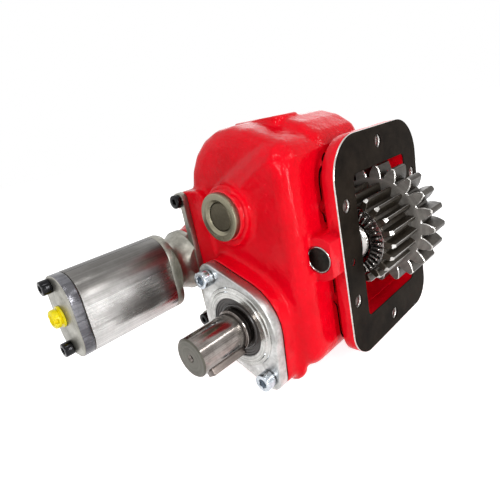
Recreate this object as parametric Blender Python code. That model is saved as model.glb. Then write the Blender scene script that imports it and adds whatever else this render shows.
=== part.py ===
"""Side-mounted power take off unit: cast gearcase, input gear cluster, keyed output shaft, gear pump.

Metres, +Z up. The origin is the centre of the flange face that bolts to the gearbox, and +X points
out of that face. Every shaft runs along Y, with the output shaft and the pump on the -Y side.
"""
import math

import bmesh
import bpy
from mathutils import Matrix, Vector

# Gearbox flange
FLANGE_WIDTH = 0.145
FLANGE_HEIGHT = 0.194
FLANGE_THICKNESS = 0.012
FLANGE_TOP_CORNER = 0.036
FLANGE_BOTTOM_CORNER = 0.024
FLANGE_HOLE_RADIUS = 0.0055
FLANGE_END_HOLE_OFFSET = 0.084
FLANGE_SIDE_HOLE_Y = 0.061
FLANGE_SIDE_HOLE_Z = 0.0425
DOWEL_RADIUS = 0.003
DOWEL_Z = -0.006
OPENING_WIDTH = 0.092
OPENING_HEIGHT = 0.129
OPENING_CORNER = 0.005
GASKET_THICKNESS = 0.001

# Gear train
INPUT_AXIS_DEPTH = 0.014
INPUT_AXIS_HEIGHT = 0.005
DRIVE_MODULE = 0.0035
PINION_TEETH = 22
DRIVEN_TEETH = 27
RING_MODULE = 0.005
RING_TEETH = 21
GEAR_BACKLASH = 0.00025
CENTRE_ALLOWANCE = 0.00015
OUTPUT_DIRECTION = math.radians(219.3)
INTERMEDIATE_DIRECTION = math.radians(149.3)
PUMP_DIRECTION = math.radians(211.5)
PINION_FRONT = -0.040
RING_FACE = 0.0045
RING_WIDTH = 0.0235
CLUSTER_BORE = 0.024
OUTPUT_GEAR_FRONT = -0.0385
OUTPUT_GEAR_WIDTH = 0.0190
TRAIN_GEAR_FRONT = -0.0175
TRAIN_GEAR_WIDTH = 0.0185
GEAR_CLEARANCE = 0.0035

# Gearcase casting
WALL = 0.007
FRONT_FACE = -0.105
FRONT_BLOCK_BACK = -0.050
REAR_BLOCK_FRONT = -0.058
REAR_BLOCK_BACK = 0.013
FRONT_EDGE_ROUND = 0.014
REAR_EDGE_ROUND = 0.008
UPPER_LOBE_X = -0.0895
UPPER_LOBE_Z = 0.0585
UPPER_LOBE_RADIUS = 0.062
UPPER_LOBE_STEP = 0.006
UPPER_LOBE_ROUND = 0.013
UPPER_FACE_X = -0.090
UPPER_FACE_Z = 0.050
UPPER_FACE_RADIUS = 0.019
UPPER_ROUND_DEPTH = 0.009
CORNER_FACE_X = -0.044
CORNER_FACE_Z = 0.076
CORNER_FACE_RADIUS = 0.012
CORNER_ROUND_DEPTH = 0.020
REAR_CROWN_X = -0.066
REAR_CROWN_Z = 0.062
REAR_CROWN_RADIUS = 0.057
LOWER_LOBE_RADIUS = 0.060
CASE_SIDE_X = -0.020
CASE_SIDE_TOP_Z = 0.080
CASE_SIDE_TOP_RADIUS = 0.026
CASE_SIDE_BOTTOM_Z = -0.078
CASE_SIDE_BOTTOM_RADIUS = 0.020
CLUSTER_CASE_BACK = 0.056
CLUSTER_CASE_HEIGHT = 0.158
CLUSTER_CASE_ROUND = 0.018
TOP_PAD_RISE = 0.001
TOP_PAD_X = -0.083
TOP_PAD_Y = -0.045
TOP_PAD_LENGTH = 0.056
TOP_PAD_WIDTH = 0.034
TOP_PAD_CORNER = 0.008
FILLET = 0.006
CLUSTER_CASE_DEPTH = 0.080
CLUSTER_CASE_FRONT = -0.060
CLUSTER_SPACE_HALF = 0.046
PUMP_PAD_RIGHT = 0.0485
PUMP_PAD_ROUND = 0.010
PUMP_CASE_NECK_WALL = 0.0065
BEARING_BOSS_WALL = 0.007
AXLE_SUPPORT_WALL = 0.008
AXLE_SUPPORT_END = -0.030
REAR_AXLE_BOSS_END = 0.017

# Input axle and its bearings
AXLE_RADIUS = 0.01175
AXLE_BOSS_RADIUS = 0.0195
AXLE_BOSS_FACE = -0.0885
AXLE_REAR_FACE = 0.064
AXLE_CHAMFER = 0.0008
SLEEVE_RADIUS = 0.0195
THRUST_INNER_GAP = 0.002
THRUST_BREADTH = 0.012
THRUST_CAGE_THICKNESS = 0.0022
THRUST_NEEDLE_RADIUS = 0.0014
THRUST_NEEDLES = 18
THRUST_WASHER_THICKNESS = 0.001
RADIAL_ROLLERS = 14
ROLLER_PROUD = 0.0007

# Output shaft
SHAFT_RADIUS = 0.0175
SHAFT_REACH = 0.067
SHAFT_SHOULDER_RADIUS = 0.0215
SHAFT_GEAR_SEAT_RADIUS = 0.0190
SHAFT_REAR_RADIUS = 0.015
SHAFT_REAR_END = -0.0008
SHAFT_CHAMFER = 0.001
KEY_WIDTH = 0.010
KEY_HEIGHT = 0.008
KEY_LENGTH = 0.040
KEY_GAP_TO_END = 0.009
KEY_SEAT_DEPTH = 0.005
KEY_DIRECTION = math.radians(-62.0)
CIRCLIP_THICKNESS = 0.0018

# Output bearings, seal and cover
COVER_BOSS_RISE = 0.015
COVER_THICKNESS = 0.010
COVER_BOLT_RADIUS = 0.0525
COVER_BOLT_DIRECTION = math.radians(121.0)
COVER_EAR_RADIUS = 0.0125
COVER_BODY_RADIUS = 0.0435
COVER_HUB_RADIUS = 0.0385
COVER_HUB_RISE = 0.0025
COVER_GASKET = 0.0006
FRONT_BEARING_OUTER = 0.036
FRONT_BEARING_WIDTH = 0.017
FRONT_BEARING_DEPTH = 0.019
REAR_BEARING_OUTER = 0.031
REAR_BEARING_WIDTH = 0.016
REAR_BEARING_FRONT = -0.0165
BEARING_RING = 0.0052
BEARING_BALLS = 7
SEAL_RADIUS = 0.028
SEAL_WIDTH = 0.008

# Ring plug and intermediate axle
RING_PLUG_RADIUS = 0.0215
RING_PLUG_BORE = 0.0132
RING_PLUG_STAND_OFF = 0.004
RING_PLUG_HEAD = 0.0055
RING_PLUG_THREAD_RADIUS = 0.0200
RING_PLUG_THREAD = 0.016
RING_BOSS_RADIUS = 0.0265
RING_BOSS_RISE = 0.0065
INTERMEDIATE_AXLE_RADIUS = 0.0128
INTERMEDIATE_AXLE_RECESS = 0.0025
INTERMEDIATE_BUSH_WALL = 0.003

# Gear pump
PUMP_PAD_RISE = 0.003
PUMP_FLANGE_THICKNESS = 0.006
PUMP_NECK_RADIUS = 0.0255
PUMP_PILOT_RADIUS = 0.024
PUMP_PILOT_LENGTH = 0.006
PUMP_EAR_X = 0.0195
PUMP_EAR_Z = 0.063
PUMP_EAR_RADIUS = 0.0075
PUMP_FAR_EAR_X = -0.040
PUMP_EAR_BAR = 0.006
PUMP_FLANGE_DISC = 0.0268
PUMP_NECK_LENGTH = 0.0197
PUMP_PLATE_THICKNESS = 0.008
PUMP_BODY_LENGTH = 0.088
PUMP_REAR_COVER_THICKNESS = 0.010
PUMP_BODY_SHIFT = -0.0035
PUMP_HALF_WIDTH = 0.0245
PUMP_TOP = 0.034
PUMP_BOTTOM = 0.041
PUMP_TOP_ROUND = 0.0225
PUMP_BOTTOM_ROUND = 0.0205
PUMP_GEAR_MODULE = 0.002
PUMP_GEAR_TEETH = 10
PUMP_REAR_BLOCK_LENGTH = 0.030
PUMP_GEAR_WIDTH = 0.026
PUMP_SHAFT_RADIUS = 0.0055
PUMP_SHAFT_REAR_GAP = 0.008
PUMP_BUSH_LENGTH = 0.018
PUMP_BOLT_SIDE = -0.012
PUMP_BOLT_TOP = 0.0245
PUMP_BOLT_BOTTOM = -0.0348
PORT_PLUG_RADIUS = 0.0085
PORT_PLUG_SIDE = -0.010
PORT_PLUG_DROP = 0.004
PUMP_HUB_FRONT = -0.062
PUMP_HUB_RADIUS = 0.012
PUMP_HUB_JOURNAL = 0.009
PUMP_BUSH_WALL = 0.0025
PUMP_SHAFT_FRONT = -0.032
PUMP_SEAL_RADIUS = 0.013
PUMP_SEAL_STAND_OUT = 0.002
PUMP_SEAL_WIDTH = 0.006

# Fasteners: head radius, head height, shank radius, hexagon across flats
BOLT_M10 = (0.008, 0.010, 0.005, 0.008)
BOLT_M8 = (0.0065, 0.008, 0.004, 0.006)
BOLT_M8_LOW = (0.0065, 0.005, 0.004, 0.005)
HOLE_CLEARANCE = 0.0005
COVER_SCREW_DEPTH = 0.018
PUMP_SCREW_DEPTH = 0.012

FIT = 0.0003
ROUND_STEP = math.radians(18)
CUT_MARGIN = 0.002
MERGE_DISTANCE = 0.000004


class Place:
    """A point in the XZ plane that an axis along Y passes through."""

    def __init__(self, x, z):
        self.x = x
        self.z = z

    def polar(self, distance, angle):
        return Place(self.x + distance * math.cos(angle), self.z + distance * math.sin(angle))


DRIVE_DISTANCE = DRIVE_MODULE * (PINION_TEETH + DRIVEN_TEETH) / 2 + CENTRE_ALLOWANCE
TRAIN_DISTANCE = DRIVE_MODULE * DRIVEN_TEETH + CENTRE_ALLOWANCE
DRIVEN_TIP = DRIVE_MODULE * (DRIVEN_TEETH + 2) / 2
GEAR_SPACE = DRIVEN_TIP + GEAR_CLEARANCE
RING_TIP = RING_MODULE * (RING_TEETH + 2) / 2
PUMP_GEAR_DISTANCE = PUMP_GEAR_MODULE * PUMP_GEAR_TEETH + CENTRE_ALLOWANCE
PUMP_GEAR_TIP = PUMP_GEAR_MODULE * (PUMP_GEAR_TEETH + 2) / 2

INPUT = Place(-INPUT_AXIS_DEPTH, INPUT_AXIS_HEIGHT)
OUTPUT = INPUT.polar(DRIVE_DISTANCE, OUTPUT_DIRECTION)
INTERMEDIATE = INPUT.polar(DRIVE_DISTANCE, INTERMEDIATE_DIRECTION)
PUMP = INTERMEDIATE.polar(TRAIN_DISTANCE, PUMP_DIRECTION)
PUMP_SECOND = Place(PUMP.x, PUMP.z - PUMP_GEAR_DISTANCE)

TOP_PAD_LEVEL = UPPER_LOBE_Z + UPPER_LOBE_RADIUS + TOP_PAD_RISE
THRUST_INNER_RADIUS = SLEEVE_RADIUS + THRUST_INNER_GAP
THRUST_OUTER_RADIUS = THRUST_INNER_RADIUS + THRUST_BREADTH
COVER_SEAT = FRONT_FACE - COVER_BOSS_RISE
SHAFT_END = COVER_SEAT - SHAFT_REACH
FRONT_BEARING_FACE = COVER_SEAT + FRONT_BEARING_DEPTH
RING_BOSS_FACE = FRONT_FACE - RING_BOSS_RISE
RING_PLUG_FACE = RING_BOSS_FACE - RING_PLUG_STAND_OFF - RING_PLUG_HEAD
PUMP_SEAT = FRONT_FACE - PUMP_PAD_RISE
PUMP_SEAL_FRONT = PUMP_SEAT - PUMP_SEAL_STAND_OUT
PUMP_PLATE_BACK = PUMP_SEAT - FIT - PUMP_FLANGE_THICKNESS - PUMP_NECK_LENGTH
PUMP_BODY_FRONT = PUMP_PLATE_BACK - PUMP_PLATE_THICKNESS
PUMP_BODY_BACK = PUMP_BODY_FRONT - PUMP_BODY_LENGTH
PUMP_REAR_COVER_BACK = PUMP_BODY_BACK - PUMP_REAR_COVER_THICKNESS
PUMP_GEAR_FRONT = PUMP_BODY_BACK + PUMP_REAR_BLOCK_LENGTH
PUMP_SHAFT_BACK = PUMP_BODY_BACK + PUMP_SHAFT_REAR_GAP
CLUSTER_BACK = RING_FACE + RING_WIDTH
THRUST_STEP = THRUST_WASHER_THICKNESS + FIT
FRONT_THRUST_FACE = PINION_FRONT - THRUST_STEP - FIT - 2 * THRUST_NEEDLE_RADIUS
REAR_THRUST_FACE = CLUSTER_BACK + THRUST_STEP


# Materials

def make_material(name, colour, metallic, roughness):
    material = bpy.data.materials.new(name)
    material.use_nodes = True
    shader = material.node_tree.nodes["Principled BSDF"]
    shader.inputs["Base Color"].default_value = (*colour, 1.0)
    shader.inputs["Metallic"].default_value = metallic
    shader.inputs["Roughness"].default_value = roughness
    material.diffuse_color = (*colour, 1.0)
    return material


def make_materials():
    return {
        "red_paint": make_material("red_paint", (0.62, 0.006, 0.012), 0.0, 0.3),
        "gasket": make_material("gasket", (0.02, 0.017, 0.015), 0.0, 0.6),
        "gear_steel": make_material("gear_steel", (0.26, 0.25, 0.24), 1.0, 0.35),
        "bright_steel": make_material("bright_steel", (0.5, 0.48, 0.46), 1.0, 0.22),
        "dark_steel": make_material("dark_steel", (0.05, 0.05, 0.05), 0.8, 0.4),
        "black_bolt": make_material("black_bolt", (0.012, 0.012, 0.012), 0.3, 0.4),
        "zinc": make_material("zinc", (0.6, 0.63, 0.64), 1.0, 0.25),
        "olive_zinc": make_material("olive_zinc", (0.28, 0.26, 0.19), 0.9, 0.4),
        "cast_aluminium": make_material("cast_aluminium", (0.62, 0.62, 0.62), 1.0, 0.35),
        "extruded_aluminium": make_material("extruded_aluminium", (0.5, 0.49, 0.48), 1.0, 0.28),
        "bronze": make_material("bronze", (0.45, 0.26, 0.09), 1.0, 0.35),
        "seal_rubber": make_material("seal_rubber", (0.02, 0.018, 0.018), 0.0, 0.45),
        "yellow_plastic": make_material("yellow_plastic", (0.85, 0.75, 0.02), 0.0, 0.35),
    }


# Object and mesh helpers

def clear_scene():
    for thing in list(bpy.data.objects):
        bpy.data.objects.remove(thing, do_unlink=True)


def add_object(name, mesh_source, material=None):
    """Make an object from a bmesh, smooth where its faces nearly agree."""
    bmesh.ops.remove_doubles(mesh_source, verts=mesh_source.verts, dist=0.000001)
    bmesh.ops.recalc_face_normals(mesh_source, faces=mesh_source.faces)
    mesh = bpy.data.meshes.new(name)
    mesh_source.to_mesh(mesh)
    mesh_source.free()
    thing = bpy.data.objects.new(name, mesh)
    bpy.context.scene.collection.objects.link(thing)
    if material is not None:
        mesh.materials.append(material)
    shade(thing)
    return thing


def shade(thing):
    thing.data.shade_smooth()
    thing.data.set_sharp_from_angle(angle=math.radians(32))


def combine(target, tools, operation):
    """Apply one exact Boolean for each tool, and remove the tools."""
    for index, tool in enumerate(tools):
        modifier = target.modifiers.new(f"{operation.lower()}_{index}", "BOOLEAN")
        modifier.operation = operation
        modifier.solver = "EXACT"
        modifier.object = tool
        tool.hide_render = True
        tool.display_type = "WIRE"
    graph = bpy.context.evaluated_depsgraph_get()
    result = bpy.data.meshes.new_from_object(target.evaluated_get(graph))
    old_mesh = target.data
    materials = list(old_mesh.materials)
    name = old_mesh.name
    target.modifiers.clear()
    target.data = result
    bpy.data.meshes.remove(old_mesh)
    result.name = name
    result.materials.clear()
    for material in materials:
        result.materials.append(material)
    for tool in tools:
        bpy.data.objects.remove(tool, do_unlink=True)
    merge_close_points(result)
    shade(target)
    return target


def merge_close_points(mesh):
    """Close the hairline gaps that a Boolean can leave where two curves nearly agree."""
    shape = bmesh.new()
    shape.from_mesh(mesh)
    bmesh.ops.remove_doubles(shape, verts=shape.verts, dist=MERGE_DISTANCE)
    bmesh.ops.dissolve_degenerate(shape, edges=shape.edges, dist=MERGE_DISTANCE / 2)
    for face in shape.faces:
        face.material_index = 0
    shape.to_mesh(mesh)
    shape.free()


def join_to(target, *tools):
    return combine(target, list(tools), "UNION")


def cut_from(target, *tools):
    return combine(target, list(tools), "DIFFERENCE")


def set_origin(thing, place, y=0.0):
    """Put the object's origin on an axis along Y and leave its shape where it is."""
    point = Vector((place.x, y, place.z))
    thing.data.transform(Matrix.Translation(-point))
    thing.location = point
    return thing


# Outlines in the XZ plane

def arc_points(x, z, radius, start, end, step=ROUND_STEP):
    count = max(1, math.ceil(abs(end - start) / step - 1e-6))
    return [
        (x + radius * math.cos(start + (end - start) * i / count),
         z + radius * math.sin(start + (end - start) * i / count))
        for i in range(count + 1)
    ]


def circle_points(place, radius, count=32):
    return [
        (place.x + radius * math.cos(2 * math.pi * i / count),
         place.z + radius * math.sin(2 * math.pi * i / count))
        for i in range(count)
    ]


def belt_outline(circles, grow=0.0, counts=None):
    """Outline of a belt stretched round circles (x, z, radius) that are listed anticlockwise.

    Counts, where given, are the numbers of steps on the circles, so that outlines can be lofted.
    """
    normals = []
    for index, (x, z, radius) in enumerate(circles):
        next_x, next_z, next_radius = circles[(index + 1) % len(circles)]
        span = math.hypot(next_x - x, next_z - z)
        heading = math.atan2(next_z - z, next_x - x)
        normals.append(heading - math.pi / 2 + math.asin((radius - next_radius) / span))
    points = []
    for index, (x, z, radius) in enumerate(circles):
        start = normals[index - 1]
        end = normals[index]
        while end < start:
            end += 2 * math.pi
        while end - start > 2 * math.pi:
            end -= 2 * math.pi
        step = (end - start) / counts[index] + 1e-9 if counts else ROUND_STEP
        points += arc_points(x, z, radius + grow, start, end, step)
    return points


def rounded_rectangle(x_low, x_high, z_low, z_high, radii):
    """Anticlockwise outline; radii are for the low-low, high-low, high-high and low-high corners."""
    corners = [
        (x_low, z_low, 1, 1, math.pi),
        (x_high, z_low, -1, 1, 1.5 * math.pi),
        (x_high, z_high, -1, -1, 0.0),
        (x_low, z_high, 1, -1, 0.5 * math.pi),
    ]
    points = []
    for (x, z, side_x, side_z, start), radius in zip(corners, radii):
        points += arc_points(
            x + side_x * radius, z + side_z * radius, radius, start, start + math.pi / 2)
    return points


# Solids

def loft(sections):
    """Closed solid through sections (y, outline) whose outlines have equal numbers of points."""
    shape = bmesh.new()
    loops = [[shape.verts.new((x, y, z)) for x, z in outline] for y, outline in sections]
    for near, far in zip(loops, loops[1:]):
        for i in range(len(near)):
            j = (i + 1) % len(near)
            shape.faces.new((near[i], near[j], far[j], far[i]))
    shape.faces.new(loops[0])
    shape.faces.new(loops[-1])
    return shape


def prism(outline, y_low, y_high):
    return loft([(y_low, outline), (y_high, outline)])


def prism_along_x(outline, x_low, x_high):
    """Closed solid whose outline (y, z) is swept along X."""
    shape = prism(outline, x_low, x_high)
    swap = Matrix(((0, 1, 0, 0), (1, 0, 0, 0), (0, 0, 1, 0), (0, 0, 0, 1)))
    bmesh.ops.transform(shape, matrix=swap, verts=shape.verts)
    return shape


def edge_stations(y, radius, inward, steps=3):
    """Stations (y, grow) of a rounded edge at y whose material lies towards inward (+1 or -1)."""
    stations = []
    for i in range(steps + 1):
        turn = math.pi / 2 * i / steps
        stations.append((y + inward * radius * (1 - math.sin(turn)), -radius * (1 - math.cos(turn))))
    return stations if inward < 0 else stations[::-1]


def rounded_belt(circles, y_low, y_high, low_round=0.0, high_round=0.0):
    """Belt-shaped block along Y with rounded ends."""
    stations = edge_stations(y_low, low_round, 1) if low_round else [(y_low, 0.0)]
    stations += edge_stations(y_high, high_round, -1) if high_round else [(y_high, 0.0)]
    return loft([(y, belt_outline(circles, grow)) for y, grow in stations])


def flared_belt(circles, y_face, y_root, fillet, edge=0.001, steps=3):
    """Boss that stands towards -Y, with a small round at its face and a fillet at its root."""
    stations = edge_stations(y_face, edge, 1, 2)
    for i in range(1, steps + 1):
        turn = math.pi / 2 * i / steps
        stations.append((y_root - fillet * (1 - math.sin(turn)), fillet * (1 - math.cos(turn))))
    stations.append((y_root + fillet, fillet))
    return loft([(y, belt_outline(circles, grow)) for y, grow in stations])


def turned(profile, place, segments=24):
    """Solid of revolution about an axis along Y, from a closed profile of (radius, y) points."""
    shape = bmesh.new()
    loop = [shape.verts.new((radius, y, 0)) for radius, y in profile]
    edges = [shape.edges.new((loop[i], loop[(i + 1) % len(loop)])) for i in range(len(loop))]
    bmesh.ops.spin(
        shape, geom=loop + edges, cent=(0, 0, 0), axis=(0, 1, 0), angle=2 * math.pi,
        steps=segments, use_merge=True)
    bmesh.ops.remove_doubles(shape, verts=shape.verts, dist=0.000001)
    bmesh.ops.dissolve_degenerate(shape, edges=shape.edges, dist=0.0000005)
    flat = [face for face in shape.faces if face.calc_area() < 1e-13]
    bmesh.ops.delete(shape, geom=flat, context="FACES_ONLY")
    axis_edges = [edge for edge in shape.edges if not edge.link_faces]
    bmesh.ops.delete(shape, geom=axis_edges, context="EDGES")
    bmesh.ops.translate(shape, verts=shape.verts, vec=(place.x, 0, place.z))
    return shape


def rod(place, radius, y_low, y_high, segments=24, chamfer=0.0):
    if not chamfer:
        return prism(circle_points(place, radius, segments), y_low, y_high)
    return loft([
        (y_low, circle_points(place, radius - chamfer, segments)),
        (y_low + chamfer, circle_points(place, radius, segments)),
        (y_high - chamfer, circle_points(place, radius, segments)),
        (y_high, circle_points(place, radius - chamfer, segments)),
    ])


def stepped_bore(place, steps, end, segments=24):
    """Cutter of a bore whose steps are (radius, y of the step's start), closed at y = end."""
    profile = [(0.0, steps[0][1])]
    for (radius, start), follower in zip(steps, steps[1:] + [(0.0, end)]):
        profile += [(radius, start), (radius, follower[1])]
    return turned(profile + [(0.0, end)], place, segments)


def tube(place, inner, outer, y_low, y_high, segments=24):
    return turned([(inner, y_low), (outer, y_low), (outer, y_high), (inner, y_high)], place, segments)


def hexagon(place, across_flats, angle=0.0):
    radius = across_flats / math.sqrt(3)
    return [
        (place.x + radius * math.cos(angle + math.pi * i / 3),
         place.z + radius * math.sin(angle + math.pi * i / 3))
        for i in range(6)
    ]


def tool(shape):
    return add_object("tool", shape)


# Gear teeth

def involute_tooth(module, teeth, flank_points=4, pressure=math.radians(20)):
    """Half-angles (radius, half_angle) up one flank of a spur tooth, root to tip."""
    pitch = module * teeth / 2
    base = pitch * math.cos(pressure)
    root = pitch - 1.25 * module
    tip = pitch + module
    half_pitch = math.pi / (2 * teeth) - GEAR_BACKLASH / (2 * pitch)
    offset = half_pitch + math.tan(pressure) - pressure
    start = max(base, root) * 1.0005
    flank = []
    for i in range(flank_points):
        radius = start + (tip - start) * i / (flank_points - 1)
        roll = math.sqrt((radius / base) ** 2 - 1)
        flank.append((radius, offset - (roll - math.atan(roll))))
    return root, flank


def gear_outline(place, module, teeth, phase, flank_points=4):
    """Outline of a spur gear whose first tooth is centred on the angle phase."""
    root, flank = involute_tooth(module, teeth, flank_points)
    root_half = min(flank[0][1] * 1.08, math.pi / teeth * 0.86)
    points = []
    for tooth in range(teeth):
        centre = phase + 2 * math.pi * tooth / teeth
        rising = [(root, centre - root_half)] + [(r, centre - a) for r, a in flank]
        falling = [(r, centre + a) for r, a in reversed(flank)] + [(root, centre + root_half)]
        for radius, angle in rising + falling:
            points.append((place.x + radius * math.cos(angle), place.z + radius * math.sin(angle)))
    return points


def meshing_phase(phase, teeth, direction, other_teeth):
    """Phase of a gear that lies in the given direction and meshes with one at the given phase."""
    return direction + math.pi - teeth / other_teeth * (phase - direction) - math.pi / other_teeth


def gear_body(place, module, teeth, phase, y_low, y_high, flank_points=3, chamfer=0.0):
    """Toothed disc, with a small chamfer on the ends of its teeth where one is given."""
    outline = gear_outline(place, module, teeth, phase, flank_points)
    if not chamfer:
        return prism(outline, y_low, y_high)
    radius = module * (teeth + 2) / 2
    shrink = 1 - chamfer / radius
    small = [(place.x + (x - place.x) * shrink, place.z + (z - place.z) * shrink) for x, z in outline]
    return loft([(y_low, small), (y_low + chamfer, outline), (y_high - chamfer, outline), (y_high, small)])


PINION_PHASE = math.radians(11.8)
RING_PHASE = math.radians(14.1)
OUTPUT_PHASE = meshing_phase(PINION_PHASE, PINION_TEETH, OUTPUT_DIRECTION, DRIVEN_TEETH)
INTERMEDIATE_PHASE = meshing_phase(PINION_PHASE, PINION_TEETH, INTERMEDIATE_DIRECTION, DRIVEN_TEETH)
PUMP_PHASE = meshing_phase(INTERMEDIATE_PHASE, DRIVEN_TEETH, PUMP_DIRECTION, DRIVEN_TEETH)
PUMP_GEAR_PHASE = 0.0
PUMP_SECOND_PHASE = meshing_phase(PUMP_GEAR_PHASE, PUMP_GEAR_TEETH, -math.pi / 2, PUMP_GEAR_TEETH)


# Fasteners

def cap_screw(name, place, seat, length, size, material, facing=-1):
    """Socket head cap screw whose head stands on the plane y = seat, towards facing."""
    head_radius, head_height, shank_radius, across_flats = size
    top = seat + facing * head_height
    profile = [
        (0.0, top), (head_radius, top), (head_radius, seat), (shank_radius, seat),
        (shank_radius, seat - facing * length), (0.0, seat - facing * length),
    ]
    screw = add_object(name, turned(profile, place, 14), material)
    deep = top - facing * head_height * 0.55
    socket = prism(hexagon(place, across_flats), min(deep, top + facing * CUT_MARGIN),
                   max(deep, top + facing * CUT_MARGIN))
    return cut_from(screw, tool(socket))


def screw_hole(place, seat, length, size, facing=-1):
    shank_radius = size[2]
    end = seat - facing * (length + FIT + HOLE_CLEARANCE)
    start = seat + facing * CUT_MARGIN
    return tool(rod(place, shank_radius + FIT, min(start, end), max(start, end), 12))


# Places of the fasteners

def cover_bolt_places():
    return [OUTPUT.polar(COVER_BOLT_RADIUS, COVER_BOLT_DIRECTION + turn) for turn in (0.0, math.pi)]


def pump_flange_places():
    return [
        Place(PUMP.x + PUMP_EAR_X, PUMP.z + PUMP_EAR_Z),
        Place(PUMP.x + PUMP_EAR_X, PUMP.z - PUMP_EAR_Z),
        Place(PUMP.x + PUMP_FAR_EAR_X, PUMP.z),
    ]


def pump_through_places():
    side = PUMP.x + PUMP_BOLT_SIDE
    return [Place(side, PUMP.z + PUMP_BOLT_TOP), Place(side, PUMP.z + PUMP_BOLT_BOTTOM)]


def flange_hole_places():
    """(y, z) of the six gearbox bolts."""
    sides = [(y, z) for y in (-FLANGE_SIDE_HOLE_Y, FLANGE_SIDE_HOLE_Y)
             for z in (-FLANGE_SIDE_HOLE_Z, FLANGE_SIDE_HOLE_Z)]
    return sides + [(0.0, FLANGE_END_HOLE_OFFSET), (0.0, -FLANGE_END_HOLE_OFFSET)]


# Gearcase

def cover_circles():
    ear_a, ear_b = cover_bolt_places()
    centre = (OUTPUT.x, OUTPUT.z, COVER_BODY_RADIUS)
    return [
        (ear_a.x, ear_a.z, COVER_EAR_RADIUS), centre,
        (ear_b.x, ear_b.z, COVER_EAR_RADIUS), centre,
    ]


def side_circles():
    """Rounded lower and upper corners of the case next to the flange."""
    return [
        (CASE_SIDE_X - CASE_SIDE_BOTTOM_RADIUS, CASE_SIDE_BOTTOM_Z, CASE_SIDE_BOTTOM_RADIUS),
        (CASE_SIDE_X - CASE_SIDE_TOP_RADIUS, CASE_SIDE_TOP_Z, CASE_SIDE_TOP_RADIUS),
    ]


def front_block():
    """Main front of the case, lofted from its flat face to full size behind the rounded edge."""
    round_off = FRONT_EDGE_ROUND
    lower, corner = side_circles()
    full = [
        (OUTPUT.x, OUTPUT.z, LOWER_LOBE_RADIUS), lower, corner,
        (UPPER_FACE_X, UPPER_FACE_Z, UPPER_FACE_RADIUS + UPPER_ROUND_DEPTH)]
    face = [
        (OUTPUT.x, OUTPUT.z, LOWER_LOBE_RADIUS - round_off),
        (lower[0], lower[1], CASE_SIDE_BOTTOM_RADIUS - round_off),
        (CORNER_FACE_X, CORNER_FACE_Z, CORNER_FACE_RADIUS),
        (UPPER_FACE_X, UPPER_FACE_Z, UPPER_FACE_RADIUS)]
    depths = (round_off, round_off, CORNER_ROUND_DEPTH, UPPER_ROUND_DEPTH)
    sections = []
    for share in (0.0, 0.05, 0.18, 0.38, 0.66, 1.0):
        depth = CORNER_ROUND_DEPTH * share
        circles = []
        for whole, front, reach in zip(full, face, depths):
            left = max(0.0, 1 - depth / reach)
            inset = 1 - math.sqrt(1 - left ** 2)
            circles.append(tuple(w + (f - w) * inset for w, f in zip(whole, front)))
        sections.append((FRONT_FACE + depth, belt_outline(circles, 0.0, (8, 4, 4, 7))))
    sections.append((FRONT_BLOCK_BACK, sections[-1][1]))
    return loft(sections)


def upper_lobe_block():
    """Upper lobe of the case, whose face lies a step behind the main front."""
    corner = side_circles()[1]
    lobe = (UPPER_LOBE_X, UPPER_LOBE_Z, UPPER_LOBE_RADIUS)
    low = (UPPER_LOBE_X, OUTPUT.z, LOWER_LOBE_RADIUS - UPPER_LOBE_STEP)
    face = FRONT_FACE + UPPER_LOBE_STEP
    stations = edge_stations(face, UPPER_LOBE_ROUND, 1) + [(FRONT_BLOCK_BACK, 0.0)]
    return loft([
        (y, keep_left_of(belt_outline([low, corner, lobe], grow), CASE_SIDE_X + grow))
        for y, grow in stations])


def gear_space_circles(radius):
    return [(place.x, place.z, radius) for place in (PUMP, OUTPUT, INTERMEDIATE)]


def rear_block_circles():
    left, low, high = gear_space_circles(GEAR_SPACE + WALL)
    return [left, low, side_circles()[0], (REAR_CROWN_X, REAR_CROWN_Z, REAR_CROWN_RADIUS), high]


def cluster_case_circles():
    back = CLUSTER_CASE_ROUND
    front = CLUSTER_CASE_ROUND / 2
    half = CLUSTER_CASE_HEIGHT / 2
    deep = -CLUSTER_CASE_DEPTH + back
    return [
        (deep, back - half, back), (-FLANGE_THICKNESS, front - half, front),
        (-FLANGE_THICKNESS, half - front, front), (deep, half - back, back),
    ]


def flat_sided_circle(place, radius, limit, count=24):
    """Circle cut flat at x = limit on its +X side."""
    return [(min(x, limit), z) for x, z in circle_points(place, radius, count)]


def flange_outline(inset=0.0):
    half_width = FLANGE_WIDTH / 2 - inset
    half_height = FLANGE_HEIGHT / 2 - inset
    low = FLANGE_BOTTOM_CORNER - inset
    high = FLANGE_TOP_CORNER - inset
    return rounded_rectangle(
        -half_width, half_width, -half_height, half_height, (low, low, high, high))


def opening_outline(margin=0.0):
    half_width = OPENING_WIDTH / 2 + margin
    half_height = OPENING_HEIGHT / 2 + margin
    return rounded_rectangle(
        -half_width, half_width, -half_height, half_height, (OPENING_CORNER,) * 4)


def axis_on_x(y, z, radius, x_low, x_high, count=20):
    return prism_along_x(circle_points(Place(y, z), radius, count), x_low, x_high)


def pump_pad_outline():
    """Pad of the casting behind the pump's two slender ears, joined to the front of the case."""
    round_off = PUMP_PAD_ROUND
    half = PUMP_EAR_Z + PUMP_EAR_RADIUS
    return rounded_rectangle(
        PUMP.x + PUMP_EAR_X - PUMP_EAR_RADIUS, PUMP.x + PUMP_PAD_RIGHT, PUMP.z - half, PUMP.z + half,
        (PUMP_EAR_RADIUS, round_off, round_off, PUMP_EAR_RADIUS))


def keep_left_of(outline, limit):
    return [(min(x, limit), z) for x, z in outline]


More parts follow.
